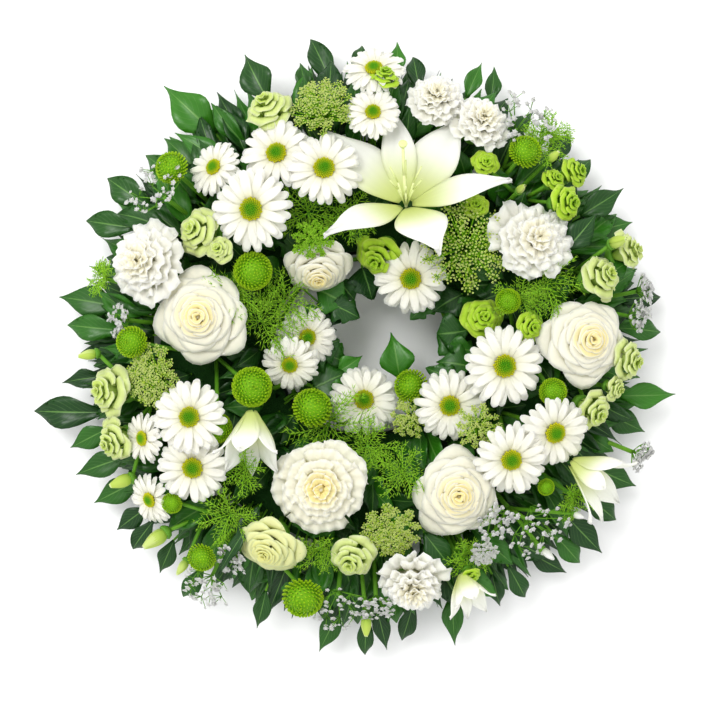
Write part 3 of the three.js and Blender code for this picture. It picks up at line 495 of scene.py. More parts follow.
def turned_mesh(
    name: str, sides: int, profile: tuple[tuple[float, float], ...]
) -> bpy.types.Mesh:
    """A turned solid that is closed by a point at each end.

    Args:
        name: The mesh's name.
        sides: How many sides it has.
        profile: (radius, height) from foot to top, where both ends become single points.

    Returns:
        The mesh, with v along the profile.
    """
    angles = np.linspace(0, 2 * math.pi, sides, endpoint=False)
    rings = [[(r * math.cos(a), r * math.sin(a), z) for a in angles] for r, z in profile[1:-1]]
    points = np.array([(0, 0, profile[0][1]), *sum(rings, []), (0, 0, profile[-1][1])])
    faces = []
    for i in range(sides):
        k = (i + 1) % sides
        faces.append([0, 1 + k, 1 + i])
        for j in range(len(rings) - 1):
            low, high = 1 + j * sides, 1 + (j + 1) * sides
            faces.append([low + i, low + k, high + k, high + i])
        top = 1 + (len(rings) - 1) * sides
        faces.append([top + i, top + k, len(points) - 1])
    steps = [0.0, *[(j + 1) / (len(profile) - 1) for j in range(len(rings)) for _ in angles], 1.0]
    uvs = np.stack([np.full(len(points), 0.5), np.array(steps)], -1)
    return make_mesh(name, points, faces, uvs)


def star_mesh(name: str, lobes: int, notch: float, rise: float) -> bpy.types.Mesh:
    """A tiny lobed flower, closed above and below.

    Args:
        name: The mesh's name.
        lobes: How many lobes it has.
        notch: The radius between two lobes.
        rise: How far the lobes' tips stand above its middle.

    Returns:
        The mesh, with v as the distance from the axis.
    """
    angles = np.linspace(0, 2 * math.pi, 2 * lobes, endpoint=False)
    reach = np.where(np.arange(2 * lobes) % 2, notch, 1.0)
    ring = np.stack([reach * np.cos(angles), reach * np.sin(angles), rise * reach], -1)
    points = np.concatenate([[(0, 0, rise * 0.3)], ring, [(0, 0, -0.3)]])
    count = 2 * lobes
    faces = []
    for i in range(count):
        k = (i + 1) % count
        faces += [[0, 1 + i, 1 + k], [count + 1, 1 + k, 1 + i]]
    uvs = np.stack([np.full(len(points), 0.5), np.array([0.0, *reach, 0.3])], -1)
    return make_mesh(name, points, faces, uvs)


@dataclass(frozen=True)
class Layers:
    """Petals laid over one another like shingles from the heart outwards.

    Sizes are in radii of the head, and each pair runs from the first petal to the last. A petal
    hugs the heart up to its neck, turns over at the crown and runs out as far as its lip.
    """

    count: int
    neck: tuple[float, float]
    lip: tuple[float, float]
    crown: tuple[float, float]
    droop: tuple[float, float]
    half: tuple[float, float]
    depth: float = 0.8
    spread: float = 0.9
    rounding: tuple[float, float] = (0.05, 0.16)
    crest: float = 2.2
    ruffle: float = 0.02
    waves: float = 1.5
    frill: float = 2.0
    teeth: float = 0.0
    serration: float = 3.0
    rows: int = 11
    cols: int = 11
    shell: float = 0.012

    def petals(self) -> list[Petal]:
        """The petals of the bloom.

        Returns:
            The petals in order from the heart outwards.
        """
        made = []
        for i in range(self.count):
            f = i / (self.count - 1)

            def between(pair: tuple[float, float], power: float = 1.0) -> float:
                """The value at this petal between the two of a pair."""
                return pair[0] + (pair[1] - pair[0]) * f**power

            neck, lip = between(self.neck, self.spread), between(self.lip)
            top, droop = between(self.crown, 1.2), between(self.droop)
            half = self.half[1] + (self.half[0] - self.half[1]) * (1 - f) ** 3
            made.append(Petal(
                ((0.05, -self.depth), (0.75 * neck + 0.02, 0.5 * (top - self.depth)),
                 (neck, top - 0.05), (neck + 0.42 * lip, top), (neck + lip, top - droop)),
                half, rounding=between(self.rounding), crest=self.crest, teeth=self.teeth,
                serration=self.serration, ruffle=self.ruffle * (0.5 + 0.5 * f),
                waves=self.waves, frill=self.frill, phase=i * 1.7, twist=1.0,
                rows=self.rows, cols=self.cols, shell=self.shell,
            ))
        return made


ROSE = Layers(32, (0.03, 0.64), (0.06, 0.38), (0.4, -0.14), (-0.01, 0.12), (1.9, 0.8),
              crest=1.25, depth=0.45, rounding=(0.03, 0.34), ruffle=0.03, waves=1.1,
              rows=9, cols=11, shell=0.005)
CARNATION = Layers(30, (0.02, 0.56), (0.16, 0.42), (0.46, -0.16), (-0.08, 0.02), (1.5, 0.72),
                   depth=0.6, rounding=(0.04, 0.06), teeth=0.05, serration=4.5, ruffle=0.085,
                   waves=3.1, frill=1.3, rows=7, cols=25, shell=0.006)
LISIANTHUS = Layers(22, (0.03, 0.64), (0.1, 0.38), (0.34, -0.16), (-0.05, 0.04), (1.7, 0.74),
                    depth=0.7, rounding=(0.04, 0.06), teeth=0.03, serration=5, ruffle=0.05,
                    waves=5.2, frill=4.5, rows=9, cols=33, shell=0.006)
GREEN = Layers(14, (0.04, 0.62), (0.1, 0.42), (0.5, -0.2), (-0.03, 0.14), (1.9, 0.95),
               depth=1.1, rounding=(0.04, 0.16), ruffle=0.075, waves=2.2, frill=2.6,
               rows=6, cols=11, shell=0.01)


BUD_PETALS = 5
RAY_SHAPES = 5
FLORET_SHAPES = 3


def bud_petals() -> list[Petal]:
    """Petals furled round one another to a point.

    Returns:
        The petals in order from the heart outwards.
    """
    return [
        Petal(
            ((0.08, -0.6), (0.46 - 0.03 * i, -0.15), (0.46 - 0.03 * i, 0.45),
             (0.27 - 0.03 * i, 1.0), (0.12, 1.32 - 0.05 * i)),
            1.5, rounding=0.05, ruffle=0.02, phase=i, cols=11,
        )
        for i in range(BUD_PETALS)
    ]


def ray_petals() -> list[Petal]:
    """The long blunt rays of a daisy.

    Returns:
        A few rays that bend and ripple differently.
    """
    return [
        Petal(
            ((0.16, -0.02), (0.45, 0.045 + 0.01 * i), (0.75, 0.03 - 0.015 * i),
             (0.97, -0.02 - 0.025 * i)),
            0.122, wrap=False, rows=6, cols=5, rounding=0.12, cup=0.035 - 0.05 * (i == 2),
            ruffle=0.012, waves=1, phase=i * 1.4, widths=(0.45, 0.85, 1.0, 0.97, 0.72),
        )
        for i in range(RAY_SHAPES)
    ]


def button_petals() -> list[Petal]:
    """The short spooned florets of a button chrysanthemum.

    Returns:
        A few florets of different depths.
    """
    return [
        Petal(
            ((0.0, 0.0), (0.09, 0.07), (0.13, 0.14 + 0.02 * i), (0.09, 0.2)),
            0.072, wrap=False, rows=4, cols=3, rounding=0.3, cup=0.05, shell=0.02,
            widths=(0.5, 0.9, 1.0, 0.7),
        )
        for i in range(FLORET_SHAPES)
    ]


# A tepal's rise at even steps of its length, where on its length it starts, how far its line
# runs, and the shares of its height that come from standing upright and from arching.
LILY_RISE = (0.0, 0.24, 0.44, 0.62, 0.70, 0.66)
TEPAL_START = 0.06
TEPAL_RUN = 1.02
TEPAL_STAND = 0.35
TEPAL_ARCH = (0.53, 0.35)
TEPAL_WIDTHS = (0.14, 0.46, 0.76, 0.95, 1.0, 0.9, 0.7, 0.44, 0.22, 0.02)


def tepal_petals(length: float, flare: float, widths: tuple[float, float]) -> list[Petal]:
    """Narrow and broad tepals of a lily.

    Args:
        length: Their length in head radii.
        flare: How far they open, in radians.
        widths: Their half widths as shares of their length.

    Returns:
        A narrow and a broad one.
    """
    petals = []
    for wide, bend in zip(widths, (0.0, 0.02)):
        line = []
        arch = TEPAL_ARCH[0] - TEPAL_ARCH[1] * math.sin(flare)
        for k, rise in enumerate(LILY_RISE):
            t = TEPAL_RUN * k / (len(LILY_RISE) - 1)
            reach = length * (TEPAL_START + t * math.sin(flare))
            height = t * math.cos(flare) * TEPAL_STAND + (rise - bend * t) * arch
            line.append((reach, length * height))
        petals.append(Petal(
            tuple(line), wide * length, wrap=False, rows=17, cols=9, rounding=0.0,
            cup=0.2 * length * wide, ruffle=0.035, waves=2, phase=bend * 60, twist=5,
            widths=TEPAL_WIDTHS, shell=0.016,
        ))
    return petals


@dataclass(frozen=True)
class LeafShape:
    """A leaf one unit long and one unit wide: its outline, its sag and how its edge waves."""

    widths: tuple[float, ...]
    sag: float = 0.12
    fold: float = 0.14
    wave: float = 0.03
    lobes: float = 0.0

    def mesh(self, name: str) -> bpy.types.Mesh:
        """The leaf as a closed shell along +X with its face towards +Z."""
        along = np.linspace(0, 1, 12)[:, None]
        across = np.linspace(-1, 1, 5)[None, :]
        wide = 0.5 * np.maximum(smooth([(w,) for w in self.widths], along)[..., 0], 0.012)
        edge = 1 + self.lobes * np.abs(np.sin(along * math.pi * 2.5)) * np.abs(across)
        y = across * wide * edge
        x = along + 0 * across
        z = self.sag * (np.sin(along * math.pi * 0.8) - 0.6 * along**2)
        z = z + self.fold * np.abs(across) ** 1.5 * wide
        z = z + self.wave * across**2 * np.sin(along * 11 + across * 1.5)
        return shell_mesh(name, np.stack([x, y, z + 0 * x], -1), 0.014)


LEAF_SHAPES = (
    LeafShape((0.1, 0.5, 0.9, 1.0, 0.82, 0.5, 0.18, 0.01)),
    LeafShape((0.12, 0.55, 0.95, 0.96, 0.7, 0.36, 0.12, 0.01), sag=0.2, fold=0.35, wave=0.05),
    LeafShape((0.1, 0.8, 1.0, 0.62, 0.8, 0.5, 0.34, 0.01), sag=0.1, wave=0.06, lobes=0.22),
    LeafShape((0.15, 0.4, 0.7, 0.95, 1.0, 0.8, 0.4, 0.02), sag=0.16, fold=0.2, wave=0.06),
)


# The shapes that the outline and the hole's rim choose from, by their numbers above.
COLLAR_SHAPES = (0, 1, 3)
RIM_SHAPES = (1, 2, 3)

# The lower leaves beside each garland leaf: bearing aside, reach, width and drop in mm.
LOWER_LEAVES = ((0, 58, 27, 12), (-0.065, 54, 19, 3), (0.065, 50, 19, 7), (0.03, 62, 17, 16))


# Turned solids by name: their sides and their (radius, height) profile.
TURNED = {
    "rod": (6, ((0, 0), (1, 0), (0.9, 1), (0, 1))),
    "thread": (3, ((0, 0), (1, 0.02), (0.8, 0.98), (0, 1))),
    "needle": (3, ((0, 0), (1, 0.35), (0, 1))),
    "core": (16, (*((math.sin(0.3 * k), -math.cos(0.3 * k)) for k in range(10)), (0, 1))),
    "floret": (5, ((0, -0.6), (1, -0.1), (0.85, 0.6), (0, 1))),
    "calyx": (14, ((0, 0), (0.35, 0.02), (0.8, 0.35), (1, 0.8), (0.9, 1), (0, 0.85))),
}

# Tiny flowers by name: their lobes, then notch and rise of each shape.
STARS = {
    "star": (5, ((0.7, 0.4),)),
    "speck": (3, ((0.75, 0.3), (0.8, 0.5))),
}
SPECK_SHAPES = len(STARS["speck"][1])


# Setting out: geometry nodes place the shapes and fuse them.


@dataclass
class Placement:
    """One copy of a shape, in the solid model's plan frame, in millimetres."""

    variant: int
    at: Vector
    turn: Quaternion
    size: Vector
    tint: float = 0.5


@dataclass
class ShapeBook:
    """The families of shapes, each kept as a collection of prototype objects."""

    families: dict[str, bpy.types.Collection] = field(default_factory=dict)

    def add(self, family: str, meshes: list[bpy.types.Mesh]) -> None:
        """Keeps a family of meshes under its name.

        Args:
            family: The family's name.
            meshes: Its shapes, in the order of their variant numbers.
        """
        shelf = bpy.data.collections.new(family)
        bpy.context.scene.collection.children.link(shelf)
        for i, mesh in enumerate(meshes):
            shelf.objects.link(bpy.data.objects.new(f"{family}_{i:03d}", mesh))
        self.families[family] = shelf

    def clear(self) -> None:
        """Removes the prototypes once every piece is made."""
        for shelf in self.families.values():
            for shape in list(shelf.objects):
                bpy.data.objects.remove(shape)
            bpy.data.collections.remove(shelf)


class Scatter:
    """A geometry node group that sets shapes out on points and fuses them into one mesh."""

    INPUTS = {
        "Points": "Geometry", "Shapes": "Collection", "Finish": "Material",
        "Size variation": "Float", "Seed": "Int",
    }

    def __init__(self) -> None:
        """Builds the node group once."""
        tree = bpy.data.node_groups.new("set_out_shapes", "GeometryNodeTree")
        for name, kind in self.INPUTS.items():
            tree.interface.new_socket(name, in_out="INPUT", socket_type=f"NodeSocket{kind}")
        tree.interface.new_socket("Fused", in_out="OUTPUT", socket_type="NodeSocketGeometry")
        node, link = tree.nodes.new, tree.links.new
        entry, leave = node("NodeGroupInput"), node("NodeGroupOutput")
        shapes = node("GeometryNodeCollectionInfo")
        shapes.inputs["Separate Children"].default_value = True
        shapes.inputs["Reset Children"].default_value = True
        place = node("GeometryNodeInstanceOnPoints")
        place.inputs["Pick Instance"].default_value = True
        named = {}
        for name, kind in (("turn", "FLOAT_VECTOR"), ("size", "FLOAT_VECTOR"), ("variant", "INT")):
            named[name] = node("GeometryNodeInputNamedAttribute")
            named[name].data_type = kind
            named[name].inputs["Name"].default_value = name
        low = self._maths(tree, "SUBTRACT", entry.outputs["Size variation"])
        high = self._maths(tree, "ADD", entry.outputs["Size variation"])
        vary = node("FunctionNodeRandomValue")
        vary.data_type = "FLOAT"
        link(low, vary.inputs[2])
        link(high, vary.inputs[3])
        link(entry.outputs["Seed"], vary.inputs["Seed"])
        scale = node("ShaderNodeVectorMath")
        scale.operation = "SCALE"
        link(named["size"].outputs["Attribute"], scale.inputs[0])
        link(vary.outputs[1], scale.inputs["Scale"])
        link(entry.outputs["Points"], place.inputs["Points"])
        link(entry.outputs["Shapes"], shapes.inputs["Collection"])
        link(shapes.outputs[0], place.inputs["Instance"])
        link(named["variant"].outputs["Attribute"], place.inputs["Instance Index"])
        link(named["turn"].outputs["Attribute"], place.inputs["Rotation"])
        link(scale.outputs[0], place.inputs["Scale"])
        fuse, finish = node("GeometryNodeRealizeInstances"), node("GeometryNodeSetMaterial")
        link(place.outputs[0], fuse.inputs[0])
        link(fuse.outputs[0], finish.inputs["Geometry"])
        link(entry.outputs["Finish"], finish.inputs["Material"])
        link(finish.outputs[0], leave.inputs[0])
        self.tree = tree
        self.sockets = {
            item.name: item.identifier
            for item in tree.interface.items_tree
            if item.in_out == "INPUT"
        }

    @staticmethod
    def _maths(
        tree: bpy.types.NodeTree, operation: str, value: bpy.types.NodeSocket
    ) -> bpy.types.NodeSocket:
        """One plus or minus a value.

        Args:
            tree: The node group.
            operation: ADD or SUBTRACT.
            value: The socket to add or take away.

        Returns:
            The output socket.
        """
        maths = tree.nodes.new("ShaderNodeMath")
        maths.operation = operation
        maths.inputs[0].default_value = 1.0
        tree.links.new(value, maths.inputs[1])
        return maths.outputs[0]

    def fuse(
        self,
        name: str,
        shapes: bpy.types.Collection,
        placements: list[Placement],
        finish: bpy.types.Material,
        variation: float = 0.0,
        seed: int = 0,
    ) -> bpy.types.Object:
        """Sets shapes out and fuses them into one object at the origin.

        Args:
            name: The new object's name.
            shapes: The collection of prototypes.
            placements: Where each copy goes.
            finish: Its material.
            variation: How much sizes vary, as a share.
            seed: The seed of that variation.

        Returns:
            The fused object.
        """
        mesh = bpy.data.meshes.new(f"{name}_points")
        mesh.from_pydata([to_frame(p.at) for p in placements], [], [])
        data = {
            "turn": ("FLOAT_VECTOR", "vector", [tuple(p.turn.to_euler()) for p in placements]),
            "size": ("FLOAT_VECTOR", "vector", [tuple(p.size * 0.001) for p in placements]),
            "variant": ("INT", "value", [p.variant for p in placements]),
            "tint": ("FLOAT", "value", [p.tint for p in placements]),
        }
        for key, (kind, prop, values) in data.items():
            layer = mesh.attributes.new(key, kind, "POINT")
            layer.data.foreach_set(prop, np.array(values).ravel())
        holder = bpy.data.objects.new(f"{name}_points", mesh)
        bpy.context.scene.collection.objects.link(holder)
        modifier = holder.modifiers.new("set_out", "NODES")
        modifier.node_group = self.tree
        modifier[self.sockets["Shapes"]] = shapes
        modifier[self.sockets["Finish"]] = finish
        modifier[self.sockets["Size variation"]] = float(variation)
        modifier[self.sockets["Seed"]] = int(seed)
        graph = bpy.context.evaluated_depsgraph_get()
        fused = bpy.data.meshes.new_from_object(
            holder.evaluated_get(graph), preserve_all_data_layers=True, depsgraph=graph
        )
        bpy.data.objects.remove(holder)
        bpy.data.meshes.remove(mesh)
        for key in ("turn", "size", "variant"):
            if key in fused.attributes:
                fused.attributes.remove(fused.attributes[key])
        fused.name = name
        piece = bpy.data.objects.new(name, fused)
        bpy.context.scene.collection.objects.link(piece)
        return piece


# Placing, by the same rules as the solid model.

RING_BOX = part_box("foam_ring")
RING_CENTRE = (RING_BOX[0] + RING_BOX[1]) / 2
UP = Vector((0, 0, 1))
STEEPEST_SHARE = 0.98


def even(size: float) -> Vector:
    """A size that is the same in all three directions."""
    return Vector([size] * 3)


def polar(radius: float, angle: float, z: float = 0.0) -> Vector:
    """The point at a radius and an angle about the upright axis, at height z."""
    return Vector((radius * math.cos(angle), radius * math.sin(angle), z))


def clamp(value: float, middle: float, margin: float) -> float:
    """The value, kept within a margin on each side of the middle."""
    return max(middle - margin, min(middle + margin, value))


def to_frame(point: Vector) -> tuple[float, float, float]:
    """A point of the plan frame, in mm, as metres in the part's own frame."""
    return (point.x / 1000 + RING_CENTRE.x, point.y / 1000 + RING_CENTRE.y, point.z / 1000)


def on_plan(px: float, py: float, z: float) -> Vector:
    """The point that the eye above the wreath sees at a place on the plan grid.

    Args:
        px: The place across, in grid steps.
        py: The place down, in grid steps.
        z: The point's height.

    Returns:
        The point in the plan frame.
    """
    step = GRID_STEP * (EYE_HEIGHT - z) / (EYE_HEIGHT - BLOOM_HEIGHT)
    return Vector((
        (px - GRID_MIDDLE[0]) * step - (RING_MIDDLE[0] - GRID_MIDDLE[0]) * GRID_STEP,
        (GRID_MIDDLE[1] - py) * step - (GRID_MIDDLE[1] - RING_MIDDLE[1]) * GRID_STEP,
        z,
    ))


@dataclass
class Stand:
    """Where a head stands, which way it faces and how big it is."""

    at: Vector
    turn: Quaternion
    radius: float

    def point(self, x: float, y: float, z: float) -> Vector:
        """A point given in radii of the head."""
        return self.at + self.turn @ (Vector((x, y, z)) * self.radius)

    def place(
        self, variant: int, spin: float, tint: float, tip: float = 0.0, size: float = 1.0
    ) -> Placement:
        """A petal spun round the head's axis.

        Args:
            variant: Which shape.
            spin: Its angle round the axis.
            tint: Its place in the colour range.
            tip: How far it is tipped towards the axis.
            size: Its size as a share of the head's radius.

        Returns:
            The placement.
        """
        turn = self.turn @ Quaternion((0, 0, 1), spin) @ Quaternion((0, 1, 0), -tip)
        return Placement(variant, self.at, turn, even(self.radius * size), tint)


def stand_of(head: Head) -> Stand:
    """Works out a head's stand from the crown of the wreath and the head's own lean.

    Args:
        head: The head.

    Returns:
        Its place, turn and radius.
    """
    first = on_plan(head.px, head.py, BLOOM_HEIGHT)
    distance = math.hypot(first.x, first.y)
    share = clamp((distance - CROWN_RADIUS) / CROWN_HALF_WIDTH, 0, STEEPEST_SHARE)
    z = CROWN_BASE + CROWN_RISE * math.sqrt(1 - share * share)
    heading = math.atan2(first.y, first.x) + (math.pi if share < 0 else 0)
    lean = math.radians(CROWN_TILT * abs(share))
    if head.tilt is not None:
        lean = math.radians(head.tilt)
    if head.towards is not None:
        heading = math.radians(head.towards)
    face = Vector((math.sin(lean) * math.cos(heading), math.sin(lean) * math.sin(heading),
                   math.cos(lean)))
    turn = UP.rotation_difference(face)
    return Stand(on_plan(head.px, head.py, z + head.lift), turn, head.across / 2)


def rod_between(start: Vector, end: Vector, radius: float, tint: float = 0.5) -> Placement:
    """A rod from one point to another.

    Args:
        start: Its foot.
        end: Its tip.
        radius: Its radius.
        tint: Its place in the colour range.

    Returns:
        The placement of the unit rod.
    """
    along = end - start
    turn = UP.rotation_difference(along)
    return Placement(0, start, turn, Vector((radius, radius, along.length)), tint)


# Finishes: what a surface has in common is a shader group, and the rest is its material's own.

Paint = tuple[float, float, float, float]
Display = tuple[int, int, int]


def paint(red: int, green: int, blue: int) -> Paint:
    """Turns a display colour into the linear colour that a shader takes.

    Args:
        red: Red, from 0 to 255.
        green: Green, from 0 to 255.
        blue: Blue, from 0 to 255.

    Returns:
        The linear colour, opaque.
    """
    linear = []
    for part in (red / 255, green / 255, blue / 255):
        linear.append(part / 12.92 if part <= 0.04045 else ((part + 0.055) / 1.055) ** 2.4)
    return (*linear, 1.0)


class Sketch:
    """Adds and links the nodes of one shader tree."""

    def __init__(self, tree: bpy.types.NodeTree) -> None:
        """Takes the tree to work on."""
        self.tree = tree

    def put(self, value: object, socket: bpy.types.NodeSocket) -> None:
        """Links a socket's value to an input, or sets the input to a constant.

        Args:
            value: A socket or a constant.
            socket: The input.
        """
        if isinstance(value, bpy.types.NodeSocket):
            self.tree.links.new(value, socket)
        else:
            socket.default_value = value

    def add(self, kind: str, inputs: dict | None = None, **settings: object) -> bpy.types.Node:
        """Adds a node.

        Args:
            kind: The node's type.
            inputs: Values or sockets for its inputs, by name or number.
            settings: Properties of the node.

        Returns:
            The node.
        """
        node = self.tree.nodes.new(kind)
        for key, value in settings.items():
            setattr(node, key, value)
        for key, value in (inputs or {}).items():
            self.put(value, node.inputs[key])
        return node

    def maths(self, operation: str, a: object, b: object = 0.0) -> bpy.types.NodeSocket:
        """The result of a maths node on one or two values."""
        return self.add("ShaderNodeMath", {0: a, 1: b}, operation=operation).outputs[0]

    def ramp(self, value: object, low: float, high: float) -> bpy.types.NodeSocket:
        """A smooth step from 0 at low to 1 at high."""
        step = self.add("ShaderNodeMapRange", {0: value, 1: low, 2: high},
                        interpolation_type="SMOOTHSTEP")
        return step.outputs[0]

    def mix(self, factor: object, a: object, b: object) -> bpy.types.NodeSocket:
        """A blend of two colours."""
        node = self.add("ShaderNodeMix", {0: factor, 6: a, 7: b}, data_type="RGBA")
        return node.outputs[2]

    def noise(self, scale: float, detail: float = 3.0) -> bpy.types.NodeSocket:
        """Noise over the object's own coordinates.

        Args:
            scale: How fine it is.
            detail: How many octaves it has.

        Returns:
            Values from 0 to 1.
        """
        place = self.add("ShaderNodeTexCoord").outputs["Object"]
        cloud = self.add("ShaderNodeTexNoise", {"Vector": place, "Scale": scale, "Detail": detail})
        return cloud.outputs[0]

    def blade_place(self) -> tuple[bpy.types.NodeSocket, bpy.types.NodeSocket]:
        """The places across and along a petal or leaf."""
        uv = self.add("ShaderNodeUVMap", uv_map="UVMap").outputs[0]
        split = self.add("ShaderNodeSeparateXYZ", {0: uv})
        return split.outputs[0], split.outputs[1]

    def tint(self) -> bpy.types.NodeSocket:
        """The place of the petal or leaf in its colour range."""
        return self.add("ShaderNodeAttribute", attribute_name="tint").outputs["Fac"]

    def surface(self, shader: bpy.types.Node) -> None:
        """Makes a shader the surface of the material."""
        self.add("ShaderNodeOutputMaterial", {"Surface": shader.outputs[0]})


def blank_material(name: str) -> tuple[bpy.types.Material, Sketch]:
    """Starts a material.

    Args:
        name: Its name.

    Returns:
        The material and a sketch of its empty tree.
    """
    made = bpy.data.materials.new(name)
    made.use_nodes = True
    made.node_tree.nodes.clear()
    return made, Sketch(made.node_tree)


def shared_group(
    name: str, inputs: dict[str, str], outputs: dict[str, str]
) -> tuple[Sketch, bpy.types.Node, bpy.types.Node]:
    """Starts a shader group with its named sockets.

    Args:
        name: The group's name.
        inputs: Socket types by name.
        outputs: Socket types by name.

    Returns:
        A sketch of the group's tree, its entry node and its leaving node.
    """
    tree = bpy.data.node_groups.new(name, "ShaderNodeTree")
    for key, kind in inputs.items():
        tree.interface.new_socket(key, in_out="INPUT", socket_type=kind)
    for key, kind in outputs.items():
        tree.interface.new_socket(key, in_out="OUTPUT", socket_type=kind)
    return Sketch(tree), tree.nodes.new("NodeGroupInput"), tree.nodes.new("NodeGroupOutput")


COLOUR_SOCKET = "NodeSocketColor"
VALUE_SOCKET = "NodeSocketFloat"


def petal_group() -> bpy.types.NodeTree:
    """Petal tissue: root, blade and rim colours, a warmer heart, fine lengthwise veins in relief,
    and painted shade that darkens the grooves between them.

    Returns:
        The shader group.
    """
    colours = {key: COLOUR_SOCKET for key in ("Root", "Heart", "Blade", "Rim")}
    sketch, entry, leave = shared_group(
        "petal_tissue", colours | {"Veins": VALUE_SOCKET},
        {"Colour": COLOUR_SOCKET, "Relief": VALUE_SOCKET},
    )
    across, along = sketch.blade_place()
    flesh = sketch.mix(sketch.ramp(sketch.tint(), 0.0, 0.55), entry.outputs["Heart"],
                       entry.outputs["Blade"])
    flesh = sketch.mix(sketch.ramp(along, 0.05, 0.6), entry.outputs["Root"], flesh)
    flesh = sketch.mix(sketch.ramp(along, 0.86, 1.0), flesh, entry.outputs["Rim"])
    cloud = sketch.noise(90.0)
    drift = sketch.maths("MULTIPLY", cloud, 2.5)
    lines = sketch.maths("SINE", sketch.maths(
        "ADD", sketch.maths("MULTIPLY", across, entry.outputs["Veins"]), drift))
    relief = sketch.maths("MULTIPLY_ADD", lines, 0.5)
    relief.node.inputs[2].default_value = 0.5
    # Painted shade: the colour darkens a little in the grooves of the vein relief, where the bump
    # height is low.
    groove_shade = sketch.maths("MULTIPLY", sketch.maths("SUBTRACT", 1.0, relief), 0.07)
    darker = sketch.add("ShaderNodeHueSaturation", {"Value": 0.86, "Color": flesh}).outputs[0]
    sketch.put(sketch.mix(groove_shade, flesh, darker), leave.inputs["Colour"])
    sketch.put(sketch.maths("ADD", relief, cloud), leave.inputs["Relief"])
    return sketch.tree


def leaf_group() -> bpy.types.NodeTree:
    """Leaf tissue: dark to bright by tint, with a pale midrib, side veins and mottling.

    Returns:
        The shader group.
    """
    sketch, entry, leave = shared_group(
        "leaf_tissue", {"Dark": COLOUR_SOCKET, "Bright": COLOUR_SOCKET, "Vein": COLOUR_SOCKET},
        {"Colour": COLOUR_SOCKET, "Relief": VALUE_SOCKET},
    )
    across, along = sketch.blade_place()
    off = sketch.maths("ABSOLUTE", sketch.maths("SUBTRACT", across, 0.5))
    cloud = sketch.noise(55.0)
    flesh = sketch.mix(
        sketch.maths("ADD", sketch.tint(), sketch.maths("MULTIPLY", cloud, 0.2)),
        entry.outputs["Dark"], entry.outputs["Bright"],
    )
    midrib = sketch.maths("SUBTRACT", 1.0, sketch.ramp(off, 0.012, 0.04))
    slant = sketch.maths("SUBTRACT", along, sketch.maths("MULTIPLY", off, 0.75))
    wave = sketch.maths("ABSOLUTE", sketch.maths("SINE", sketch.maths("MULTIPLY", slant, 26.0)))
    side = sketch.maths("SUBTRACT", 1.0, sketch.ramp(wave, 0.04, 0.2))
    vein = sketch.maths("MAXIMUM", midrib, sketch.maths("MULTIPLY", side, 0.4))
    strength = sketch.maths("MULTIPLY", vein, 0.6)
    sketch.put(sketch.mix(strength, flesh, entry.outputs["Vein"]), leave.inputs["Colour"])
    quilt = sketch.maths("MULTIPLY", cloud, 0.35)
    sketch.put(sketch.maths("SUBTRACT", quilt, vein), leave.inputs["Relief"])
    return sketch.tree


@dataclass(frozen=True)
class Tissue:
    """A petal or leaf finish: its colours, its gloss and how much light comes through it."""

    name: str
    slot: str
    colours: dict[str, Paint]
    values: dict[str, float] = field(default_factory=dict)
    roughness: float = 0.5
    sheen: float = 0.1
    specular: float = 0.3
    glow: float = 0.22
    relief: float = 0.12

    def material(self, tissue: bpy.types.NodeTree) -> bpy.types.Material:
        """Builds the material.

        Args:
            tissue: The shader group that gives its colour and relief.

        Returns:
            The material.
        """
        made, sketch = blank_material(self.name)
        flesh = sketch.add("ShaderNodeGroup", node_tree=tissue)
        for key, value in (self.colours | self.values).items():
            flesh.inputs[key].default_value = value
        bump = sketch.add("ShaderNodeBump", {
            "Strength": self.relief, "Distance": 0.0004, "Height": flesh.outputs["Relief"]})
        skin = sketch.add("ShaderNodeBsdfPrincipled", {
            "Base Color": flesh.outputs["Colour"], "Roughness": self.roughness,
            "Sheen Weight": self.sheen, "Specular IOR Level": self.specular,
            "Normal": bump.outputs[0]})
        through = sketch.add("ShaderNodeBsdfTranslucent", {"Color": flesh.outputs["Colour"]})
        blend = sketch.add("ShaderNodeMixShader", {
            0: self.glow, 1: skin.outputs[0], 2: through.outputs[0]})
        sketch.surface(blend)
        return made


@dataclass(frozen=True)
class Plain:
    """A finish of two colours that mottle into one another, with a grain of its own."""

    name: str
    slot: str
    low: Paint
    high: Paint
    grain: float = 200.0
    roughness: float = 0.6
    relief: float = 0.2
    depth: float = 0.0004
    by_tint: float = 0.5

    def material(self) -> bpy.types.Material:
        """Builds the material.

        Returns:
            The material.
        """
        made, sketch = blank_material(self.name)
        cloud = sketch.noise(self.grain, 4.0)
        share = sketch.maths("MULTIPLY", sketch.tint(), self.by_tint)
        share = sketch.maths("ADD", share, sketch.maths("MULTIPLY", cloud, 1 - self.by_tint))
        colour = sketch.mix(share, self.low, self.high)
        bump = sketch.add("ShaderNodeBump", {
            "Strength": self.relief, "Distance": self.depth, "Height": cloud})
        skin = sketch.add("ShaderNodeBsdfPrincipled", {
            "Base Color": colour, "Roughness": self.roughness, "Specular IOR Level": 0.3,
            "Normal": bump.outputs[0]})
        sketch.surface(skin)
        return made


class Coat(Enum):
    """The finishes that are not a spray's own petal colour."""

    DISC = "disc"
    STEM = "stem"
    LEAF = "leaf"
    STAMEN = "stamen"
    FOAM = "foam"
    TRAY = "tray"
    BRACT = "bract"
    RAY = "ray"
    CORE = "core"
    TEPAL = "tepal"


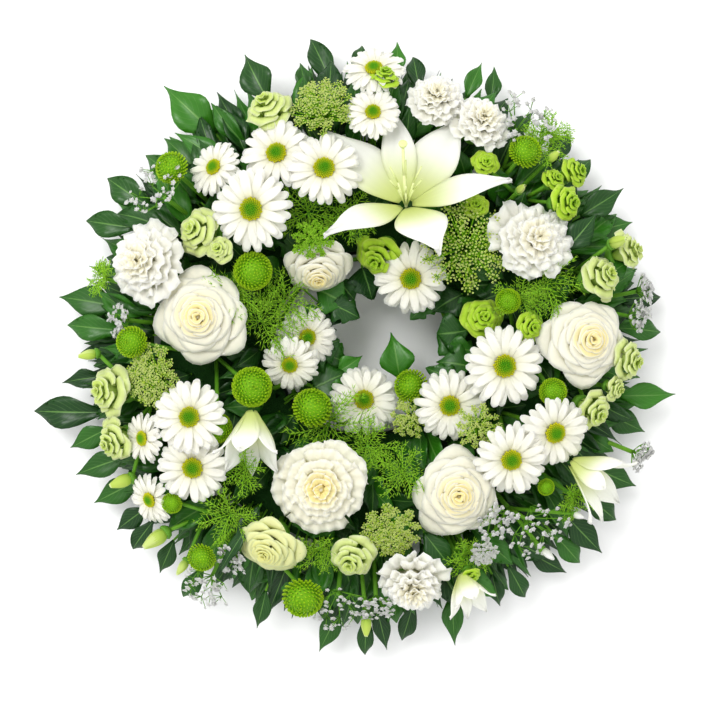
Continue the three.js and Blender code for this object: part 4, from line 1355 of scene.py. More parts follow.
def petals(
    name: str, tone: Tone, root: Display, heart: Display, blade: Display, rim: Display,
    veins: float = 60.0, glow: float = 0.22,
) -> Tissue:
    """A petal finish from four display colours.

    Args:
        name: The material's name.
        tone: The colour family, whose value is the record's slot.
        root: Colour at the foot of each petal.
        heart: Colour of the blades in the middle of the bloom.
        blade: Colour of the other blades.
        rim: Colour of the last of each petal.
        veins: How many radians of veins run across a petal.
        glow: How much light comes through.

    Returns:
        The finish.
    """
    colours = {"Root": paint(*root), "Heart": paint(*heart), "Blade": paint(*blade),
               "Rim": paint(*rim)}
    return Tissue(name, tone.value, colours, {"Veins": veins}, glow=glow)


PETAL_FINISHES = {
    Tone.CREAM: petals("cream_petal", Tone.CREAM, (246, 238, 176), (252, 242, 186),
                       (253, 251, 238), (254, 253, 247), glow=0.46),
    Coat.TEPAL: petals("tepal", Tone.WHITE, (222, 231, 150), (250, 251, 238), (253, 253, 248),
                       (254, 254, 250), 36.0, 0.4),
    Tone.WHITE: petals("white_petal", Tone.WHITE, (248, 247, 228), (253, 250, 234),
                       (254, 253, 247), (254, 254, 252), glow=0.5),
    Tone.YELLOW: petals("yellow_green_petal", Tone.YELLOW, (206, 214, 110), (240, 238, 160),
                        (243, 244, 190), (238, 243, 196), glow=0.4),
    Tone.LIME: petals("lime_petal", Tone.LIME, (136, 190, 30), (172, 214, 44), (196, 228, 70),
                      (216, 238, 112), glow=0.4),
    Tone.PALE: petals("pale_green_petal", Tone.PALE, (176, 210, 78), (212, 230, 118),
                      (230, 240, 168), (240, 246, 204), glow=0.42),
    Tone.BUTTON: petals("button_floret", Tone.BUTTON, (112, 166, 12), (148, 198, 18),
                        (178, 218, 30), (206, 232, 60), 12.0, 0.3),
    Tone.UMBEL: petals("umbel_floret", Tone.UMBEL, (172, 208, 48), (204, 228, 84),
                       (236, 244, 164), (248, 251, 214), 4.0, 0.4),
    Tone.FERN: petals("fern_thread", Tone.FERN, (118, 186, 26), (158, 216, 46), (188, 232, 74),
                      (200, 236, 104), 4.0, 0.4),
    Tone.GYPSOPHILA: petals("gypsophila_floret", Tone.GYPSOPHILA, (240, 243, 230),
                            (250, 251, 246), (254, 254, 253), (254, 254, 254), 6.0, 0.5),
}
LEAF_FINISH = Tissue(
    "leaf_skin", "leaf",
    {"Dark": paint(14, 54, 20), "Bright": paint(62, 128, 30), "Vein": paint(120, 166, 84)},
    roughness=0.33, sheen=0.0, specular=0.5, glow=0.12, relief=0.35,
)
PLAIN_FINISHES = {
    Coat.DISC: Plain("disc_floret", "green_button_florets", paint(84, 158, 18),
                     paint(206, 196, 28), by_tint=0.9),
    Coat.STEM: Plain("stem_skin", "leaf", paint(62, 122, 22), paint(128, 178, 56), 120.0),
    Coat.CORE: Plain("button_core", "green_button_florets", paint(98, 152, 8),
                     paint(142, 192, 18), 160.0),
    Coat.RAY: Plain("ray_skin", "umbel_florets", paint(104, 166, 14), paint(156, 208, 40), 160.0),
    Coat.BRACT: Plain("bract_skin", "leaf", paint(60, 116, 30), paint(120, 166, 60), 160.0),
    Coat.STAMEN: Plain("stamen_skin", "pale_green_petals", paint(200, 214, 120),
                       paint(232, 236, 190), 300.0),
    Coat.FOAM: Plain("foam_skin", "floral_foam", paint(18, 52, 20), paint(46, 92, 34), 900.0,
                     0.95, 0.9, 0.0012, 0.0),
    Coat.TRAY: Plain("tray_skin", "tray", paint(16, 40, 22), paint(24, 54, 30), 1400.0, 0.42,
                     0.15, 0.0002, 0.0),
}


@dataclass
class Wardrobe:
    """Every finish of the wreath, made once."""

    made: dict[Tone | Coat, tuple[bpy.types.Material, str]] = field(default_factory=dict)

    def fill(self) -> None:
        """Makes the shader groups and the materials."""
        petal, leaf = petal_group(), leaf_group()
        for key, finish in PETAL_FINISHES.items():
            self.made[key] = (finish.material(petal), finish.slot)
        self.made[Coat.LEAF] = (LEAF_FINISH.material(leaf), LEAF_FINISH.slot)
        for key, finish in PLAIN_FINISHES.items():
            self.made[key] = (finish.material(), finish.slot)


# Blooms: each kind adds its petals, florets and rods to the sheaf of its spray.


@dataclass
class Sheaf:
    """The placements of one node, sorted by shape family and finish."""

    name: str
    seed: int
    node: str | None = None
    heaps: dict[tuple[str, Tone | Coat], list[Placement]] = field(default_factory=dict)
    rng: np.random.Generator = field(init=False)

    def __post_init__(self) -> None:
        """Starts the sheaf's own random numbers."""
        self.rng = np.random.default_rng(self.seed)

    def add(self, family: str, coat: Tone | Coat, placement: Placement) -> None:
        """Adds one copy of a shape."""
        self.heaps.setdefault((family, coat), []).append(placement)

    def vary(self, spread: float) -> float:
        """A random number from minus the spread to the spread."""
        return float(self.rng.uniform(-spread, spread))

    def about(self, pair: tuple[float, float]) -> float:
        """A random number about the first of a pair, as far to each side as the second."""
        return pair[0] + self.vary(pair[1])

    def twig(self, start: Vector, end: Vector, radius: float, coat: Tone | Coat) -> None:
        """Adds a rod between two points."""
        self.add("rod", coat, rod_between(start, end, radius, 0.5 + self.vary(0.3)))


class Bloom(Protocol):
    """A kind of head, which knows how to add its parts to the sheaf of its spray."""

    def build(self, sheaf: Sheaf, stand: Stand, tone: Tone) -> None:
        """Adds the head's parts."""


@dataclass(frozen=True)
class Whorl:
    """A bloom of petals set round its axis at the golden angle, from the heart outwards."""

    family: str
    petals: int
    spin: float = GOLDEN_ANGLE
    tip: float = 0.04
    deep: float = 1.0
    calyx: float = 0.4
    ragged: float = 0.03
    heart: float = 0.0
    heart_size: tuple[float, float, float] = (0.12, 0.12, 0.3)
    spin_play: float = 0.1
    tint_play: float = 0.12

    def build(self, sheaf: Sheaf, stand: Stand, tone: Tone) -> None:
        """Adds the petals, a core where the heart needs one, and the calyx beneath.

        Args:
            sheaf: Where they go.
            stand: The head's place.
            tone: The petals' finish.
        """
        start = sheaf.vary(math.pi)
        for i in range(self.petals):
            share = i / max(self.petals - 1, 1)
            sheaf.add(self.family, tone, stand.place(
                i, start + i * self.spin + sheaf.vary(self.spin_play),
                share + sheaf.vary(self.tint_play), sheaf.vary(self.tip),
                1 + sheaf.vary(self.ragged)))
        if self.heart:
            size = Vector(self.heart_size) * stand.radius
            heart = stand.point(0, 0, self.heart)
            sheaf.add("core", tone, Placement(0, heart, stand.turn, size, 0.0))
        low = stand.point(0, 0, -self.deep)
        size = Vector((self.calyx, self.calyx, 0.5)) * stand.radius
        sheaf.add("calyx", Coat.BRACT, Placement(0, low, stand.turn, size, 0.5))


@dataclass(frozen=True)
class DaisyBloom:
    """Two rounds of rays about a disc of tiny florets.

    Each round is its number of rays, their length in head radii and how far they are tipped up.
    """

    rounds: tuple[tuple[int, float, float], ...] = ((21, 1.0, -0.02), (15, 0.93, 0.13))
    florets: int = 110
    disc: float = 0.27
    floret: tuple[float, float, float] = (0.028, 0.028, 0.075)
    bracts: float = 0.3

    def build(self, sheaf: Sheaf, stand: Stand, tone: Tone) -> None:
        """Adds the rays, the disc and the bracts under it.

        Args:
            sheaf: Where they go.
            stand: The head's place.
            tone: The rays' finish.
        """
        start = sheaf.vary(1.0)
        for count, size, rise in self.rounds:
            for i in range(count):
                spin = start + rise + 2 * math.pi * i / count + sheaf.vary(0.07)
                sheaf.add("ray", tone, stand.place(
                    int(sheaf.rng.integers(RAY_SHAPES)), spin, 0.7 + sheaf.vary(0.3),
                    rise + sheaf.vary(0.07), size + sheaf.vary(0.05)))
        for i in range(self.florets):
            share = math.sqrt((i + 0.5) / self.florets)
            height = 0.06 + 0.09 * (1 - share**2) + 0.03 * share
            at = stand.point(*polar(self.disc * share, i * GOLDEN_ANGLE, height))
            size = Vector(self.floret) * stand.radius
            sheaf.add("floret", Coat.DISC, Placement(
                0, at, stand.turn, size, max(0.0, share * 1.5 - 0.55) + sheaf.vary(0.08)))
        sheaf.add("calyx", Coat.BRACT, Placement(
            0, stand.point(0, 0, -0.28), stand.turn, even(self.bracts) * stand.radius, 0.5))


NEARLY_ALONG = 1e-4


def facing(direction: Vector, up: Vector) -> Quaternion:
    """A turn that takes +X to a direction and keeps +Z as near to up as it can.

    Args:
        direction: Where +X goes.
        up: Where +Z should point.

    Returns:
        The turn.
    """
    x = direction.normalized()
    y = up.cross(x)
    if y.length < NEARLY_ALONG:
        y = Vector((0, 1, 0)) if abs(x.y) < 0.9 else Vector((1, 0, 0))
    y.normalize()
    return Matrix((x, y, x.cross(y))).transposed().to_quaternion()


@dataclass(frozen=True)
class ButtonBloom:
    """A dome packed with short spooned florets."""

    florets: int = 190
    dome: float = 0.85
    reach: float = 1.85
    splay: float = 1.5
    sink: float = 0.1
    floret: float = 0.62
    growth: float = 0.36
    core: float = 0.84
    bracts: tuple[float, float, float] = (0.62, 0.62, 1.0)

    def build(self, sheaf: Sheaf, stand: Stand, tone: Tone) -> None:
        """Adds the florets and the bracts beneath.

        Args:
            sheaf: Where they go.
            stand: The head's place.
            tone: Not used, for the florets have a finish of their own.
        """
        start = sheaf.vary(math.pi)
        for i in range(self.florets):
            share = math.sqrt((i + 0.5) / self.florets)
            lean, out = share * self.reach, polar(1, start + i * GOLDEN_ANGLE)
            normal = out * math.sin(lean) + Vector((0, 0, math.cos(lean)))
            along = out * math.cos(lean) - Vector((0, 0, math.sin(lean)))
            at = stand.point(*(normal * self.dome - along * self.sink))
            turn = stand.turn @ facing(along + normal * (self.splay - share), normal)
            size = even(stand.radius * (self.floret + self.growth * share))
            sheaf.add("button", Tone.BUTTON, Placement(
                int(sheaf.rng.integers(FLORET_SHAPES)), at, turn, size, share + sheaf.vary(0.2)))
        size = even(self.core * stand.radius)
        sheaf.add("core", Coat.CORE, Placement(0, stand.point(0, 0, 0), stand.turn, size, 0.3))
        size = Vector(self.bracts) * stand.radius
        sheaf.add("calyx", Coat.BRACT, Placement(
            0, stand.point(0, 0, -0.9), stand.turn, size, 0.2))


@dataclass(frozen=True)
class UmbelBloom:
    """Rays that spread from one point to small clusters of florets."""

    rays: int
    florets: int
    floret: float
    spread: float = 0.93
    rise: float = 0.28
    cluster: float = 0.135
    ray: float = 0.55
    needle: float = 0.4

    def build(self, sheaf: Sheaf, stand: Stand, tone: Tone) -> None:
        """Adds the rays, their stalklets and the florets.

        Args:
            sheaf: Where they go.
            stand: The head's place.
            tone: The florets' finish.
        """
        foot = stand.point(0, 0, -0.55)
        for i in range(self.rays):
            share = math.sqrt((i + 0.6) / self.rays)
            angle = i * GOLDEN_ANGLE + sheaf.vary(0.2)
            reach = self.spread * share * (0.94 + sheaf.vary(0.05))
            top = (reach * math.cos(angle), reach * math.sin(angle),
                   self.rise * (1 - share**2) + sheaf.vary(0.04) - 0.1)
            knot = stand.point(*top)
            sheaf.twig(foot, knot, self.ray, Coat.RAY)
            for k in range(self.florets):
                part = math.sqrt((k + 0.5) / self.florets)
                turn = k * GOLDEN_ANGLE + i
                at = stand.point(top[0] + self.cluster * part * math.cos(turn),
                                 top[1] + self.cluster * part * math.sin(turn),
                                 top[2] + 0.1 - 0.04 * part + sheaf.vary(0.02))
                sheaf.add("needle", Coat.RAY, rod_between(
                    knot, at, self.needle, 0.5 + sheaf.vary(0.3)))
                size = even(self.floret * (1 + sheaf.vary(0.3)))
                face = stand.turn @ Quaternion((0, 0, 1), sheaf.vary(3.0))
                sheaf.add("speck", tone, Placement(
                    int(sheaf.rng.integers(SPECK_SHAPES)), at, face, size,
                    float(sheaf.rng.uniform())))


@dataclass(frozen=True)
class GypsophilaBloom:
    """A cloud of tiny double flowers on forked threads."""

    forks: int = 9
    blooms: int = 6
    reach: float = 0.94
    fork: float = 0.45
    thread: float = 0.28
    layers: int = 3

    def build(self, sheaf: Sheaf, stand: Stand, tone: Tone) -> None:
        """Adds the threads and the flowers.

        Args:
            sheaf: Where they go.
            stand: The head's place.
            tone: Not used, for the flowers have a finish of their own.
        """
        foot = stand.point(0, 0, -0.6)
        for i in range(self.forks):
            angle, lean = i * GOLDEN_ANGLE, 0.25 + 0.55 * math.sqrt(i / self.forks)
            fork = (lean * math.cos(angle), lean * math.sin(angle), -0.1 + sheaf.vary(0.12))
            crotch = stand.point(*fork)
            sheaf.twig(foot, crotch, self.fork, Coat.STEM)
            for _ in range(self.blooms):
                tip = [fork[0] + sheaf.vary(0.3), fork[1] + sheaf.vary(0.3),
                       fork[2] + 0.22 + sheaf.vary(0.14)]
                wide = math.hypot(tip[0], tip[1])
                if wide > self.reach:
                    tip[0], tip[1] = tip[0] * self.reach / wide, tip[1] * self.reach / wide
                at = stand.point(*tip)
                sheaf.twig(crotch, at, self.thread, Coat.STEM)
                size = 2.3 + sheaf.vary(0.7)
                for layer in range(self.layers):
                    face = stand.turn @ Quaternion((0, 0, 1), layer * 0.5)
                    face = face @ Quaternion((1, 0, 0), sheaf.vary(0.5))
                    sheaf.add("star", Tone.GYPSOPHILA, Placement(
                        0, at, face, even(size * (1 - 0.22 * layer)), 0.8 + sheaf.vary(0.2)))


@dataclass(frozen=True)
class FernBloom:
    """Curved plumes of fine threads, whose stalks start low, rise and fall again."""

    plumes: int = 8
    joints: int = 9
    threads: int = 3
    arch: tuple[float, float, float] = (-0.55, 1.1, 0.62)
    stalk: float = 0.42
    limb: float = 0.34
    needle: float = 0.4

    def build(self, sheaf: Sheaf, stand: Stand, tone: Tone) -> None:
        """Adds the plumes' stalks and their forked threads.

        Args:
            sheaf: Where they go.
            stand: The head's place.
            tone: Not used, for the threads have a finish of their own.
        """
        for i in range(self.plumes):
            out = polar(1, 2 * math.pi * i / self.plumes + sheaf.vary(0.35))
            side = Vector((-out.y, out.x, 0))
            bend, reach = side * sheaf.vary(0.3), 0.86 + sheaf.vary(0.14)
            low, rise, fall = self.arch
            line = [
                out * reach * t + bend * t * t + Vector((0, 0, low + rise * t - fall * t * t))
                for t in np.linspace(0, 1, self.joints)
            ]
            for a, b in zip(line, line[1:]):
                sheaf.twig(stand.point(*a), stand.point(*b), self.stalk, Tone.FERN)
            for k in range(1, self.joints):
                t = k / (self.joints - 1)
                ahead = (line[k] - line[k - 1]).normalized()
                for n in range(self.threads):
                    spin = 2 * math.pi * n / self.threads + 2.4 * k
                    away = side * math.cos(spin) + Vector((0, 0, 0.6 * math.sin(spin)))
                    self.thread(sheaf, stand, line[k], away, ahead,
                                stand.radius * (0.4 - 0.17 * t) * (1 + sheaf.vary(0.35)))

    def thread(
        self, sheaf: Sheaf, stand: Stand, joint: Vector, away: Vector, ahead: Vector, long: float
    ) -> None:
        """Adds one thread that bends forward at its knee and forks there.

        Args:
            sheaf: Where it goes.
            stand: The head's place.
            joint: Where it leaves the stalk, in head radii.
            away: The way out from the stalk.
            ahead: The way that the stalk runs.
            long: The thread's length.
        """
        start = stand.point(*joint)
        knee = start + stand.turn @ (away + ahead * 0.5).normalized() * long * 0.6
        tint = 0.6 + sheaf.vary(0.4)
        sheaf.add("thread", Tone.FERN, rod_between(start, knee, self.limb, tint))
        for lean in (0.35 + sheaf.vary(0.3), 1.5 + sheaf.vary(0.5)):
            tip = knee + stand.turn @ (away * lean + ahead).normalized() * long * 0.62
            sheaf.add("needle", Tone.FERN, rod_between(knee, tip, self.needle, tint))


@dataclass(frozen=True)
class LilyBloom:
    """Tepals at the given bearings, open about their stamens and pistil or half shut."""

    family: str
    bearings: tuple[float, ...]
    stamens: int = 6
    filament: tuple[float, float] = (0.9, 0.75)
    style: tuple[float, float] = (1.4, 1.2)
    stigma: tuple[float, float, float] = (3.6, 3.6, 4.5)

    def build(self, sheaf: Sheaf, stand: Stand, tone: Tone) -> None:
        """Adds the tepals, with the filaments, style and stigma of an open flower.

        Args:
            sheaf: Where they go.
            stand: The head's place.
            tone: Not used, for the tepals have a finish of their own.
        """
        for i, bearing in enumerate(self.bearings):
            sheaf.add(self.family, Coat.TEPAL, stand.place(
                i % 2, math.radians(bearing), 0.75 + sheaf.vary(0.2), sheaf.vary(0.04)))
        if not self.stamens:
            return
        foot = stand.point(0, 0, -0.04)
        for k in range(self.stamens):
            angle = math.radians(60 * k + 30)
            knee, top = stand.point(*polar(0.1, angle, 0.3)), stand.point(*polar(0.2, angle, 0.5))
            sheaf.twig(foot, knee, self.filament[0], Coat.STAMEN)
            sheaf.twig(knee, top, self.filament[1], Coat.STAMEN)
        middle, tip = stand.point(-0.02, 0.05, 0.42), stand.point(-0.03, 0.2, 0.74)
        sheaf.twig(foot, middle, self.style[0], Coat.STAMEN)
        sheaf.twig(middle, tip, self.style[1], Coat.STAMEN)
        sheaf.add("calyx", Coat.STAMEN, Placement(
            0, tip - stand.turn @ Vector((0, 0, 2)), stand.turn, Vector(self.stigma), 0.4))


BLOOMS: dict[Kind, Bloom] = {
    Kind.ROSE: Whorl("rose", ROSE.count, tip=0.02, heart=0.02),
    Kind.CARNATION: Whorl("carnation", CARNATION.count, tip=0.15, calyx=0.3, ragged=0.1),
    Kind.LISIANTHUS: Whorl("lisianthus", LISIANTHUS.count, heart=0.01),
    Kind.GREEN: Whorl("green", GREEN.count, tip=0.08, deep=1.3, calyx=0.45, ragged=0.06),
    Kind.BUD: Whorl("bud", BUD_PETALS, spin=2 * math.pi / BUD_PETALS, tip=0.02, deep=0.8,
                    calyx=0.5),
    Kind.DAISY: DaisyBloom(),
    Kind.BUTTON: ButtonBloom(),
    Kind.UMBEL: UmbelBloom(62, 12, 1.0),
    Kind.MIST: UmbelBloom(36, 10, 0.9),
    Kind.LILY: LilyBloom("tepal_open", (98, 57, -1, -72, 221, 140)),
    Kind.TRUMPET: LilyBloom("tepal_shut", (45, 100, 150, 225, 270, 315), stamens=0),
    Kind.GYPSOPHILA: GypsophilaBloom(),
    Kind.FERN: FernBloom(),
}


@dataclass(frozen=True)
class LeafLayer:
    """A layer of leaves on pins: how many, and each leaf's size and play, all in mm.

    A pair is a middle value and how far it may vary to each side. The height is the pin's top,
    the rise is how far the leaf's tip stands above its root, and the roll is in radians.
    """

    count: int
    length: tuple[float, float]
    width: tuple[float, float]
    height: tuple[float, float]
    rise: tuple[float, float]
    roll: float


@dataclass(frozen=True)
class Greenery:
    """The leaves that frame the wreath and the small ones that hide its foam.

    The heights are those of a garland's leaf tips and leaf roots, and a vine is its radius and
    its height.
    """

    filler: LeafLayer = LeafLayer(210, (30, 8), (19, 5), (50, 0), (16, 9), 0.5)
    filler_radii: tuple[float, float] = (82, 166)
    filler_turns: tuple[float, float] = (0.6, 1.6)
    filler_pin: float = 6.0
    hole_rim: float = 108.0
    skirt: LeafLayer = LeafLayer(84, (27, 0), (19, 5), (33, 15), (-8, 7), 0.4)
    fringe: LeafLayer = LeafLayer(170, (50, 7), (20, 5), (46, 8), (-10, 9), 0.4)
    outer_heights: tuple[float, float] = (20, 32)
    inner_heights: tuple[float, float] = (42, 46)
    inner_vine: tuple[float, float] = (INNER_VINE, 40)
    outer_vine: tuple[float, float] = (OUTER_VINE, 26)
    vine_points: int = 12
    pegs: tuple[int, ...] = (1, 6, 10)
    layer: float = 8.0

    def leaf(
        self, sheaf: Sheaf, root: Vector, tip: Vector, width: float, roll: float,
        shapes: tuple[int, ...] = tuple(range(len(LEAF_SHAPES))),
    ) -> None:
        """Adds one leaf.

        Args:
            sheaf: Where it goes.
            root: Its foot.
            tip: Its point.
            width: Its greatest width.
            roll: How far it turns about its own length.
            shapes: The leaf shapes to choose from.
        """
        along = tip - root
        turn = facing(along, UP) @ Quaternion((1, 0, 0), roll)
        shape = int(sheaf.rng.choice(shapes))
        size = Vector((along.length, width, along.length * 0.8))
        tint = float(sheaf.rng.uniform(0, 1)) ** 1.6
        sheaf.add("leaf", Coat.LEAF, Placement(shape, root, turn, size, tint))

    def garland(self, name: str, leaves: tuple, seed: int) -> Sheaf:
        """The leaves of one node, on the vine that runs along the ring's side.

        Args:
            name: The node.
            leaves: Rows of tip x, tip y, root x, root y and width.
            seed: The garland's seed.

        Returns:
            The sheaf of leaves, petioles and vine.
        """
        sheaf = Sheaf(name, seed, name)
        inner = "inner" in name
        radius, height = self.inner_vine if inner else self.outer_vine
        tip_z, root_z = self.inner_heights if inner else self.outer_heights
        bearings = []
        for i, (tip_x, tip_y, root_x, root_y, width) in enumerate(leaves):
            step = self.layer * (i % 3)
            tip, root = on_plan(tip_x, tip_y, tip_z + step), on_plan(root_x, root_y, root_z + step)
            bearing = math.atan2(root.y, root.x)
            bearings.append(bearing)
            sheaf.twig(polar(radius, bearing, height), root, PETIOLE, Coat.STEM)
            shapes = RIM_SHAPES if inner else COLLAR_SHAPES
            self.leaf(sheaf, root, tip, width, sheaf.vary(0.12), shapes)
        first = bearings[0]
        turned = [first + (b - first + math.pi) % (2 * math.pi) - math.pi for b in bearings]
        if not inner:
            self.lower_leaves(sheaf, min(turned), max(turned), len(leaves) - 1, radius, height)
        stops = np.linspace(min(turned), max(turned), self.vine_points)
        line = [polar(radius, angle, height) for angle in stops]
        for a, b in zip(line, line[1:]):
            sheaf.twig(a, b, STEM, Coat.STEM)
        depth = 12 if inner else -14
        for k in self.pegs:
            inward = line[k].normalized() * depth
            sheaf.twig(line[k], line[k] + Vector((inward.x, inward.y, 0)), PEG, Coat.STEM)
        return sheaf

    def lower_leaves(
        self, sheaf: Sheaf, first: float, last: float, count: int, radius: float, height: float
    ) -> None:
        """Adds the lower layer of a garland, with a smaller leaf on each side of every one.

        Args:
            sheaf: Where the leaves go.
            first: The garland's first bearing.
            last: Its last bearing.
            count: How many leaves the layer has.
            radius: The vine's radius.
            height: The vine's height.
        """
        for i in range(count):
            angle = first + (last - first) * (i + 0.5) / count
            for aside, reach, width, drop in LOWER_LEAVES:
                out = polar(1, angle + aside + sheaf.vary(0.02))
                root = out * radius + Vector((0, 0, height))
                tip = out * (radius + reach) + Vector((0, 0, height - drop))
                self.leaf(sheaf, root, tip, width, sheaf.vary(0.25), COLLAR_SHAPES)

    def under_leaves(self, seed: int) -> Sheaf:
        """The small leaves pinned to the foam, in four layers.

        Args:
            seed: Their seed.

        Returns:
            The sheaf of leaves and pins.
        """
        sheaf = Sheaf("under_leaves", seed)
        self.filler_leaves(sheaf)
        self.skirt_leaves(sheaf)
        self.fringe_leaves(sheaf)
        self.hole_leaves(sheaf)
        return sheaf

    @staticmethod
    def up(sheaf: Sheaf, layer: LeafLayer) -> Vector:
        """How far the next leaf's tip stands above its root."""
        return Vector((0, 0, sheaf.about(layer.rise)))

    def filler_leaves(self, sheaf: Sheaf) -> None:
        """Adds the leaves between the blooms, all over the foam's top.

        Args:
            sheaf: Where they go.
        """
        layer, (near, far) = self.filler, self.filler_radii
        for i in range(layer.count):
            radius = near + (far - near) * float(sheaf.rng.uniform(0, 1))
            root = polar(radius, i * GOLDEN_ANGLE, layer.height[0])
            turn = self.filler_turns[radius > self.hole_rim]
            heading = i * GOLDEN_ANGLE + sheaf.vary(turn)
            tip = root + polar(1, heading) * sheaf.about(layer.length) + self.up(sheaf, layer)
            pin = UP * self.filler_pin
            sheaf.twig(root - pin, root + pin, PIN, Coat.STEM)
            self.leaf(sheaf, root + pin, tip, sheaf.about(layer.width), sheaf.vary(layer.roll))

    def skirt_leaves(self, sheaf: Sheaf) -> None:
        """Adds the leaves that hang from the foam's outer side.

        Args:
            sheaf: Where they go.
        """
        layer = self.skirt
        for i in range(layer.count):
            out = polar(1, 2 * math.pi * i / layer.count + sheaf.vary(0.03))
            height = sheaf.about(layer.height)
            foot = out * (OUTER_SIDE - 6) + Vector((0, 0, height))
            root = out * (OUTER_SIDE + 3) + Vector((0, 0, height + 2))
            sheaf.twig(foot, root, PIN, Coat.STEM)
            reach = (out + Vector((-out.y, out.x, 0)) * sheaf.vary(0.7)).normalized()
            tip = root + reach * layer.length[0] + self.up(sheaf, layer)
            self.leaf(sheaf, root, tip, sheaf.about(layer.width), sheaf.vary(layer.roll))

    def fringe_leaves(self, sheaf: Sheaf) -> None:
        """Adds the longer leaves that show past the outer blooms.

        Args:
            sheaf: Where they go.
        """
        layer = self.fringe
        for i in range(layer.count):
            out = polar(1, 2 * math.pi * i / layer.count + sheaf.vary(0.04))
            foot = out * (OUTER_SIDE - 12) + Vector((0, 0, 40))
            root = out * (OUTER_SIDE + 6 + sheaf.vary(10))
            root.z = sheaf.about(layer.height)
            sheaf.twig(foot, root, PIN, Coat.STEM)
            reach = (out + Vector((-out.y, out.x, 0)) * sheaf.vary(0.45)).normalized()
            tip = root + reach * sheaf.about(layer.length) + self.up(sheaf, layer)
            self.leaf(sheaf, root, tip, sheaf.about(layer.width), sheaf.vary(layer.roll),
                      COLLAR_SHAPES)

    def hole_leaves(self, sheaf: Sheaf) -> None:
        """Adds the leaves about the hole and the few single ones, each at its own place.

        Args:
            sheaf: Where they go.
        """
        for tip_x, tip_y, root_x, root_y, width, height in INNER_FILL:
            tip, root = on_plan(tip_x, tip_y, height - 4), on_plan(root_x, root_y, height)
            foot = Vector((root.x, root.y, 0))
            foot.length = clamp(foot.length, RING_RADIUS, RING_HALF_WIDTH - 6)
            sheaf.twig(Vector((foot.x, foot.y, 44)), root, PIN, Coat.STEM)
            self.leaf(sheaf, root, tip, width, sheaf.vary(0.3))


@dataclass
class Wreath:
    """The whole wreath: makes the shapes and finishes, then each sheaf and its pieces.

    The seeds are the first ones of the sprays, the garlands and the leaves under them.
    """

    book: ShapeBook = field(default_factory=ShapeBook)
    wardrobe: Wardrobe = field(default_factory=Wardrobe)
    scatter: Scatter = field(default_factory=Scatter)
    variation: float = 0.02
    seeds: tuple[int, int, int] = (100, 300, 400)
    triangles: int = 0

    def prepare(self) -> None:
        """Makes the shapes and the finishes."""
        families = {
            "rose": ROSE.petals(), "carnation": CARNATION.petals(),
            "lisianthus": LISIANTHUS.petals(), "green": GREEN.petals(), "bud": bud_petals(),
            "ray": ray_petals(), "button": button_petals(), "leaf": LEAF_SHAPES,
            "tepal_open": tepal_petals(1.2, math.radians(62), (0.165, 0.24)),
            "tepal_shut": tepal_petals(1.9, math.radians(22), (0.11, 0.16)),
        }
        for name, shapes in families.items():
            self.book.add(name, [
                shape.mesh(f"{name}_{i}") for i, shape in enumerate(shapes)])
        for name, (sides, profile) in TURNED.items():
            self.book.add(name, [turned_mesh(name, sides, profile)])
        for name, (lobes, forms) in STARS.items():
            self.book.add(name, [
                star_mesh(f"{name}_{i}", lobes, *form) for i, form in enumerate(forms)])
        self.wardrobe.fill()

    def gather(self, spray: Spray, seed: int) -> Sheaf:
        """Sets out the heads of one node with their stems.

        Args:
            spray: The node's heads.
            seed: The spray's seed.

        Returns:
            The sheaf of all its parts.
        """
        sheaf = Sheaf(spray.node, seed, None if spray in EXTRAS else spray.node)
        hearts = []
        for head in spray.heads:
            stand = stand_of(head)
            BLOOMS[head.kind].build(sheaf, stand, spray.tone)
            hearts.append(stand.point(0, 0, NECK))
        if spray in EXTRAS:
            for heart in hearts:
                self.stem(sheaf, [heart])
        else:
            self.stem(sheaf, hearts)
        return sheaf

    def stem(self, sheaf: Sheaf, hearts: list[Vector]) -> None:
        """Adds the stalks of some heads and the stem that they share, down into the foam.

        Args:
            sheaf: Where they go.
            hearts: The points where the heads meet their stalks.
        """
        middle = sum(hearts, Vector()) / len(hearts)
        flat = math.hypot(middle.x, middle.y)
        radius = clamp(flat, RING_RADIUS, RING_HALF_WIDTH - STEM_INSET)
        root = Vector((middle.x * radius / flat, middle.y * radius / flat, STEM_FOOT))
        if len(hearts) == 1:
            sheaf.twig(root, hearts[0], STEM, Coat.STEM)
            return
        fork = root.lerp(middle, 0.5)
        fork.z = max(fork.z, FORK_HEIGHT)
        sheaf.twig(root, fork, SHARED_STEM, Coat.STEM)
        for heart in hearts:
            sheaf.twig(fork, heart, STALK, Coat.STEM)

    def bind(self, sheaf: Sheaf) -> None:
        """Fuses a sheaf into one piece for each shape family and finish.

        Args:
            sheaf: The sheaf.
        """
        for (family, coat), placements in sheaf.heaps.items():
            material, slot = self.wardrobe.made[coat]
            name = f"{sheaf.name}_{family}_{material.name}"
            piece = self.scatter.fuse(
                name, self.book.families[family], placements, material, self.variation,
                sheaf.seed)
            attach(piece, "root")
            if sheaf.node:
                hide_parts(sheaf.node)
            count = sum(len(face.vertices) - 2 for face in piece.data.polygons)
            self.triangles += count
            LOG.info("%s: %d shapes, %d triangles", name, len(placements), count)

    def dress_base(self) -> None:
        """Gives the foam ring and the tray of the solid model their finishes."""
        for node, coat in (("foam_ring", Coat.FOAM), ("base_tray", Coat.TRAY)):
            mesh = frame["nodes"][node].data
            mesh.materials.clear()
            mesh.materials.append(self.wardrobe.made[coat][0])

    def build(self) -> None:
        """Builds every piece of the wreath."""
        self.prepare()
        for i, spray in enumerate(SPRAYS + EXTRAS):
            self.bind(self.gather(spray, self.seeds[0] + i))
        greenery = Greenery()
        for i, (name, leaves) in enumerate(COLLAR.items()):
            self.bind(greenery.garland(name, leaves, self.seeds[1] + i))
        self.bind(greenery.under_leaves(self.seeds[2]))
        self.dress_base()
        self.book.clear()
        LOG.info("all pieces: %d triangles", self.triangles)


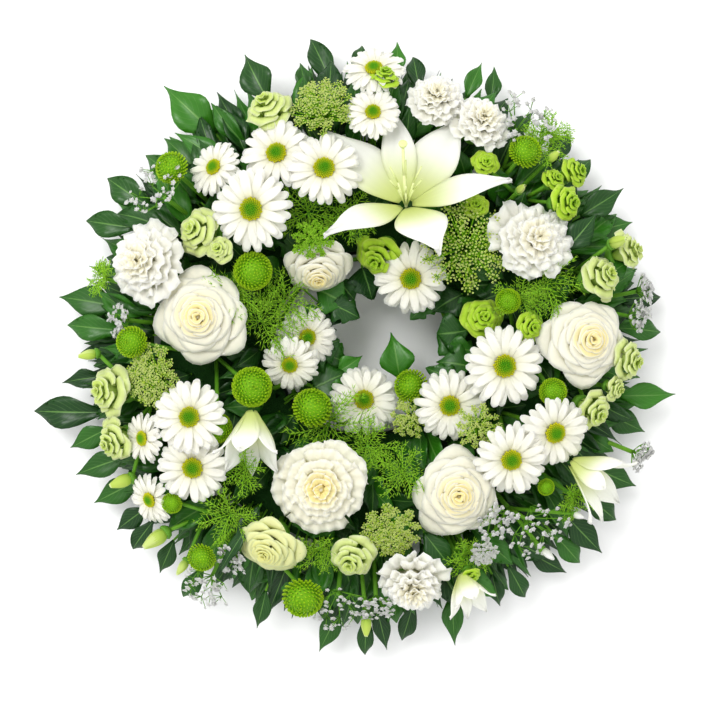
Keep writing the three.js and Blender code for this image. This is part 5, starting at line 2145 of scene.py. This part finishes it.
@dataclass(frozen=True)
class Studio:
    """The pale floor, the soft light and the camera straight above."""

    floor: float = 6.0
    height: float = 1.8
    lens: float = 106.9
    aside: tuple[float, float] = (-0.0032, -0.0136)
    sensor: float = 36.0
    key_energy: float = 34.0
    key_size: float = 1.5
    key_at: tuple[float, float, float] = (-0.95, 1.15, 2.85)
    sky: float = 0.85
    exposure: float = 0.2

    def set_up(self) -> None:
        """Makes the floor, the lights and the camera."""
        self.lay_floor()
        self.light()
        self.aim()

    def lay_floor(self) -> None:
        """Lays the pale floor under the wreath."""
        bpy.ops.mesh.primitive_plane_add(size=self.floor)
        floor = bpy.context.object
        floor.name = "floor"
        made, sketch = blank_material("floor_paper")
        sketch.surface(sketch.add("ShaderNodeBsdfPrincipled", {
            "Base Color": paint(252, 252, 252), "Roughness": 0.9, "Specular IOR Level": 0.1}))
        floor.data.materials.append(made)

    def light(self) -> None:
        """Sets the sky, the key lamp and the view's contrast."""
        world = bpy.data.worlds.new("studio")
        world.use_nodes = True
        sky = world.node_tree.nodes["Background"]
        sky.inputs["Color"].default_value = (1, 1, 1, 1)
        sky.inputs["Strength"].default_value = self.sky
        scene = bpy.context.scene
        scene.world = world
        scene.view_settings.view_transform = "Standard"
        scene.view_settings.look = "Medium High Contrast"
        scene.view_settings.exposure = self.exposure
        key = bpy.data.lights.new("key", "AREA")
        key.shape, key.size, key.energy = "DISK", self.key_size, self.key_energy
        lamp = bpy.data.objects.new("key", key)
        lamp.location = self.key_at
        lamp.rotation_mode = "QUATERNION"
        lamp.rotation_quaternion = (-Vector(lamp.location)).to_track_quat("-Z", "Y")
        scene.collection.objects.link(lamp)

    def aim(self) -> None:
        """Hangs the camera above the ring's centre."""
        scene = bpy.context.scene
        eye = bpy.data.cameras.new("eye")
        eye.lens, eye.sensor_width = self.lens, self.sensor
        camera = bpy.data.objects.new("eye", eye)
        x, y = self.aside
        camera.location = (RING_CENTRE.x + x, RING_CENTRE.y + y, self.height)
        scene.collection.objects.link(camera)
        scene.camera = camera


def main() -> None:
    """Builds the wreath and the studio."""
    logging.basicConfig(level=logging.INFO, format="%(message)s")
    Wreath().build()
    Studio().set_up()


if __name__ == "__main__":
    main()
